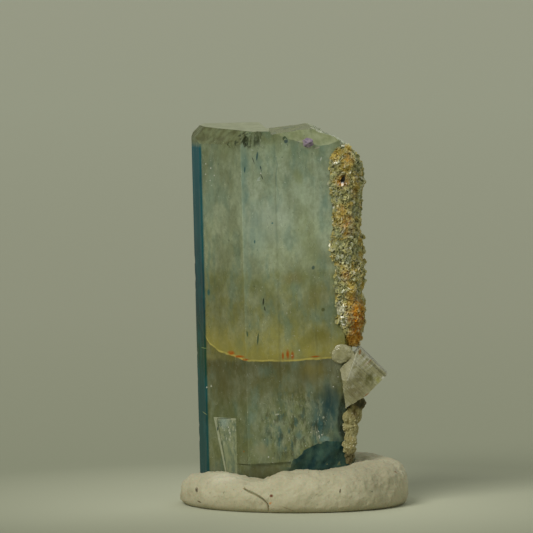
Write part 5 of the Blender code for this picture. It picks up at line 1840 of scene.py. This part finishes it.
# Floor, light and camera. A pale floor that fades to a plain grey-green distance, under soft
# light from the upper left, seen from the photograph's low angle.
CAMERA_AIM = Vector((-3.5, 0.0, 29.7)) * MM
CAMERA_RISE_DEG = 4.3
CAMERA_DISTANCE = 1.0
IMAGE_SIZE = 533
PIXEL = 0.125 * MM
SENSOR = 36.0
# Colours of the floor outwards, as shares of its reach: a painted pool of light round the specimen, a darker
# ring, and painted light brightening it again far off.
FLOOR_REACH = 1.5
FLOOR_HALF = 6.0
FLOOR_PAINTED_LIGHT = [
    (0.012, "#CCCFBC"),
    (0.036, "#A4A896"),
    (0.2, "#ADB0A0"),
    (0.6, "#B5B9AA"),
    (1.0, "#B8BBAD"),
]


def floor_material():
    """Smooth board painted with light by distance: a pale pool of light round the specimen, darker beyond,
    lighter again far off.
    """
    mat, tree, shader = new_material("pale_board")
    place = add_node(tree, "ShaderNodeTexCoord")
    far = add_node(tree, "ShaderNodeVectorMath", {0: place.outputs["Object"]}, operation="LENGTH")
    share = calc(tree, "DIVIDE", far.outputs["Value"], FLOOR_REACH)
    tree.links.new(ramp(tree, share, FLOOR_PAINTED_LIGHT), shader.inputs["Base Color"])
    shader.inputs["Roughness"].default_value = 0.9
    shader.inputs["Specular IOR Level"].default_value = 0.1
    return mat


floor_bm = bmesh.new()
bmesh.ops.create_grid(floor_bm, x_segments=8, y_segments=8, size=FLOOR_HALF)
floor = add_object("floor", floor_bm, floor_material())
for corner in floor.data.vertices:
    corner.co.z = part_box("putty_ring")[0].z

world = bpy.data.worlds.new("soft_room")
bpy.context.scene.world = world
world.use_nodes = True
world.node_tree.nodes["Background"].inputs["Color"].default_value = linear("#D9DBC8")
world.node_tree.nodes["Background"].inputs["Strength"].default_value = 0.3


def add_light(name, direction, strength, spread_deg, code):
    """A wide soft light from far away, so that the floor is lit evenly."""
    data = bpy.data.lights.new(name, "SUN")
    data.energy = strength
    data.angle = math.radians(spread_deg)
    data.color = linear(code)[:3]
    light = bpy.data.objects.new(name, data)
    light.rotation_euler = Vector(direction).to_track_quat("Z", "Y").to_euler()
    bpy.context.scene.collection.objects.link(light)


add_light("window", (-0.48, -0.72, 0.75), 1.6, 30.0, "#FFFDF0")
add_light("fill", (0.8, -0.5, 0.35), 0.25, 60.0, "#F4F6EA")
add_light("back", (0.3, 0.8, 0.6), 0.4, 40.0, "#F6F8EE")

camera_data = bpy.data.cameras.new("camera")
camera_data.sensor_width = SENSOR
camera_data.lens = SENSOR * CAMERA_DISTANCE / (PIXEL * IMAGE_SIZE)
camera_data.clip_start = 0.01
camera = bpy.data.objects.new("camera", camera_data)
rise = math.radians(CAMERA_RISE_DEG)
camera.location = CAMERA_AIM + Vector((0.0, -math.cos(rise), math.sin(rise))) * CAMERA_DISTANCE
camera.rotation_euler = (math.pi / 2.0 - rise, 0.0, 0.0)
bpy.context.scene.collection.objects.link(camera)
bpy.context.scene.camera = camera
bpy.context.scene.view_settings.view_transform = "Standard"
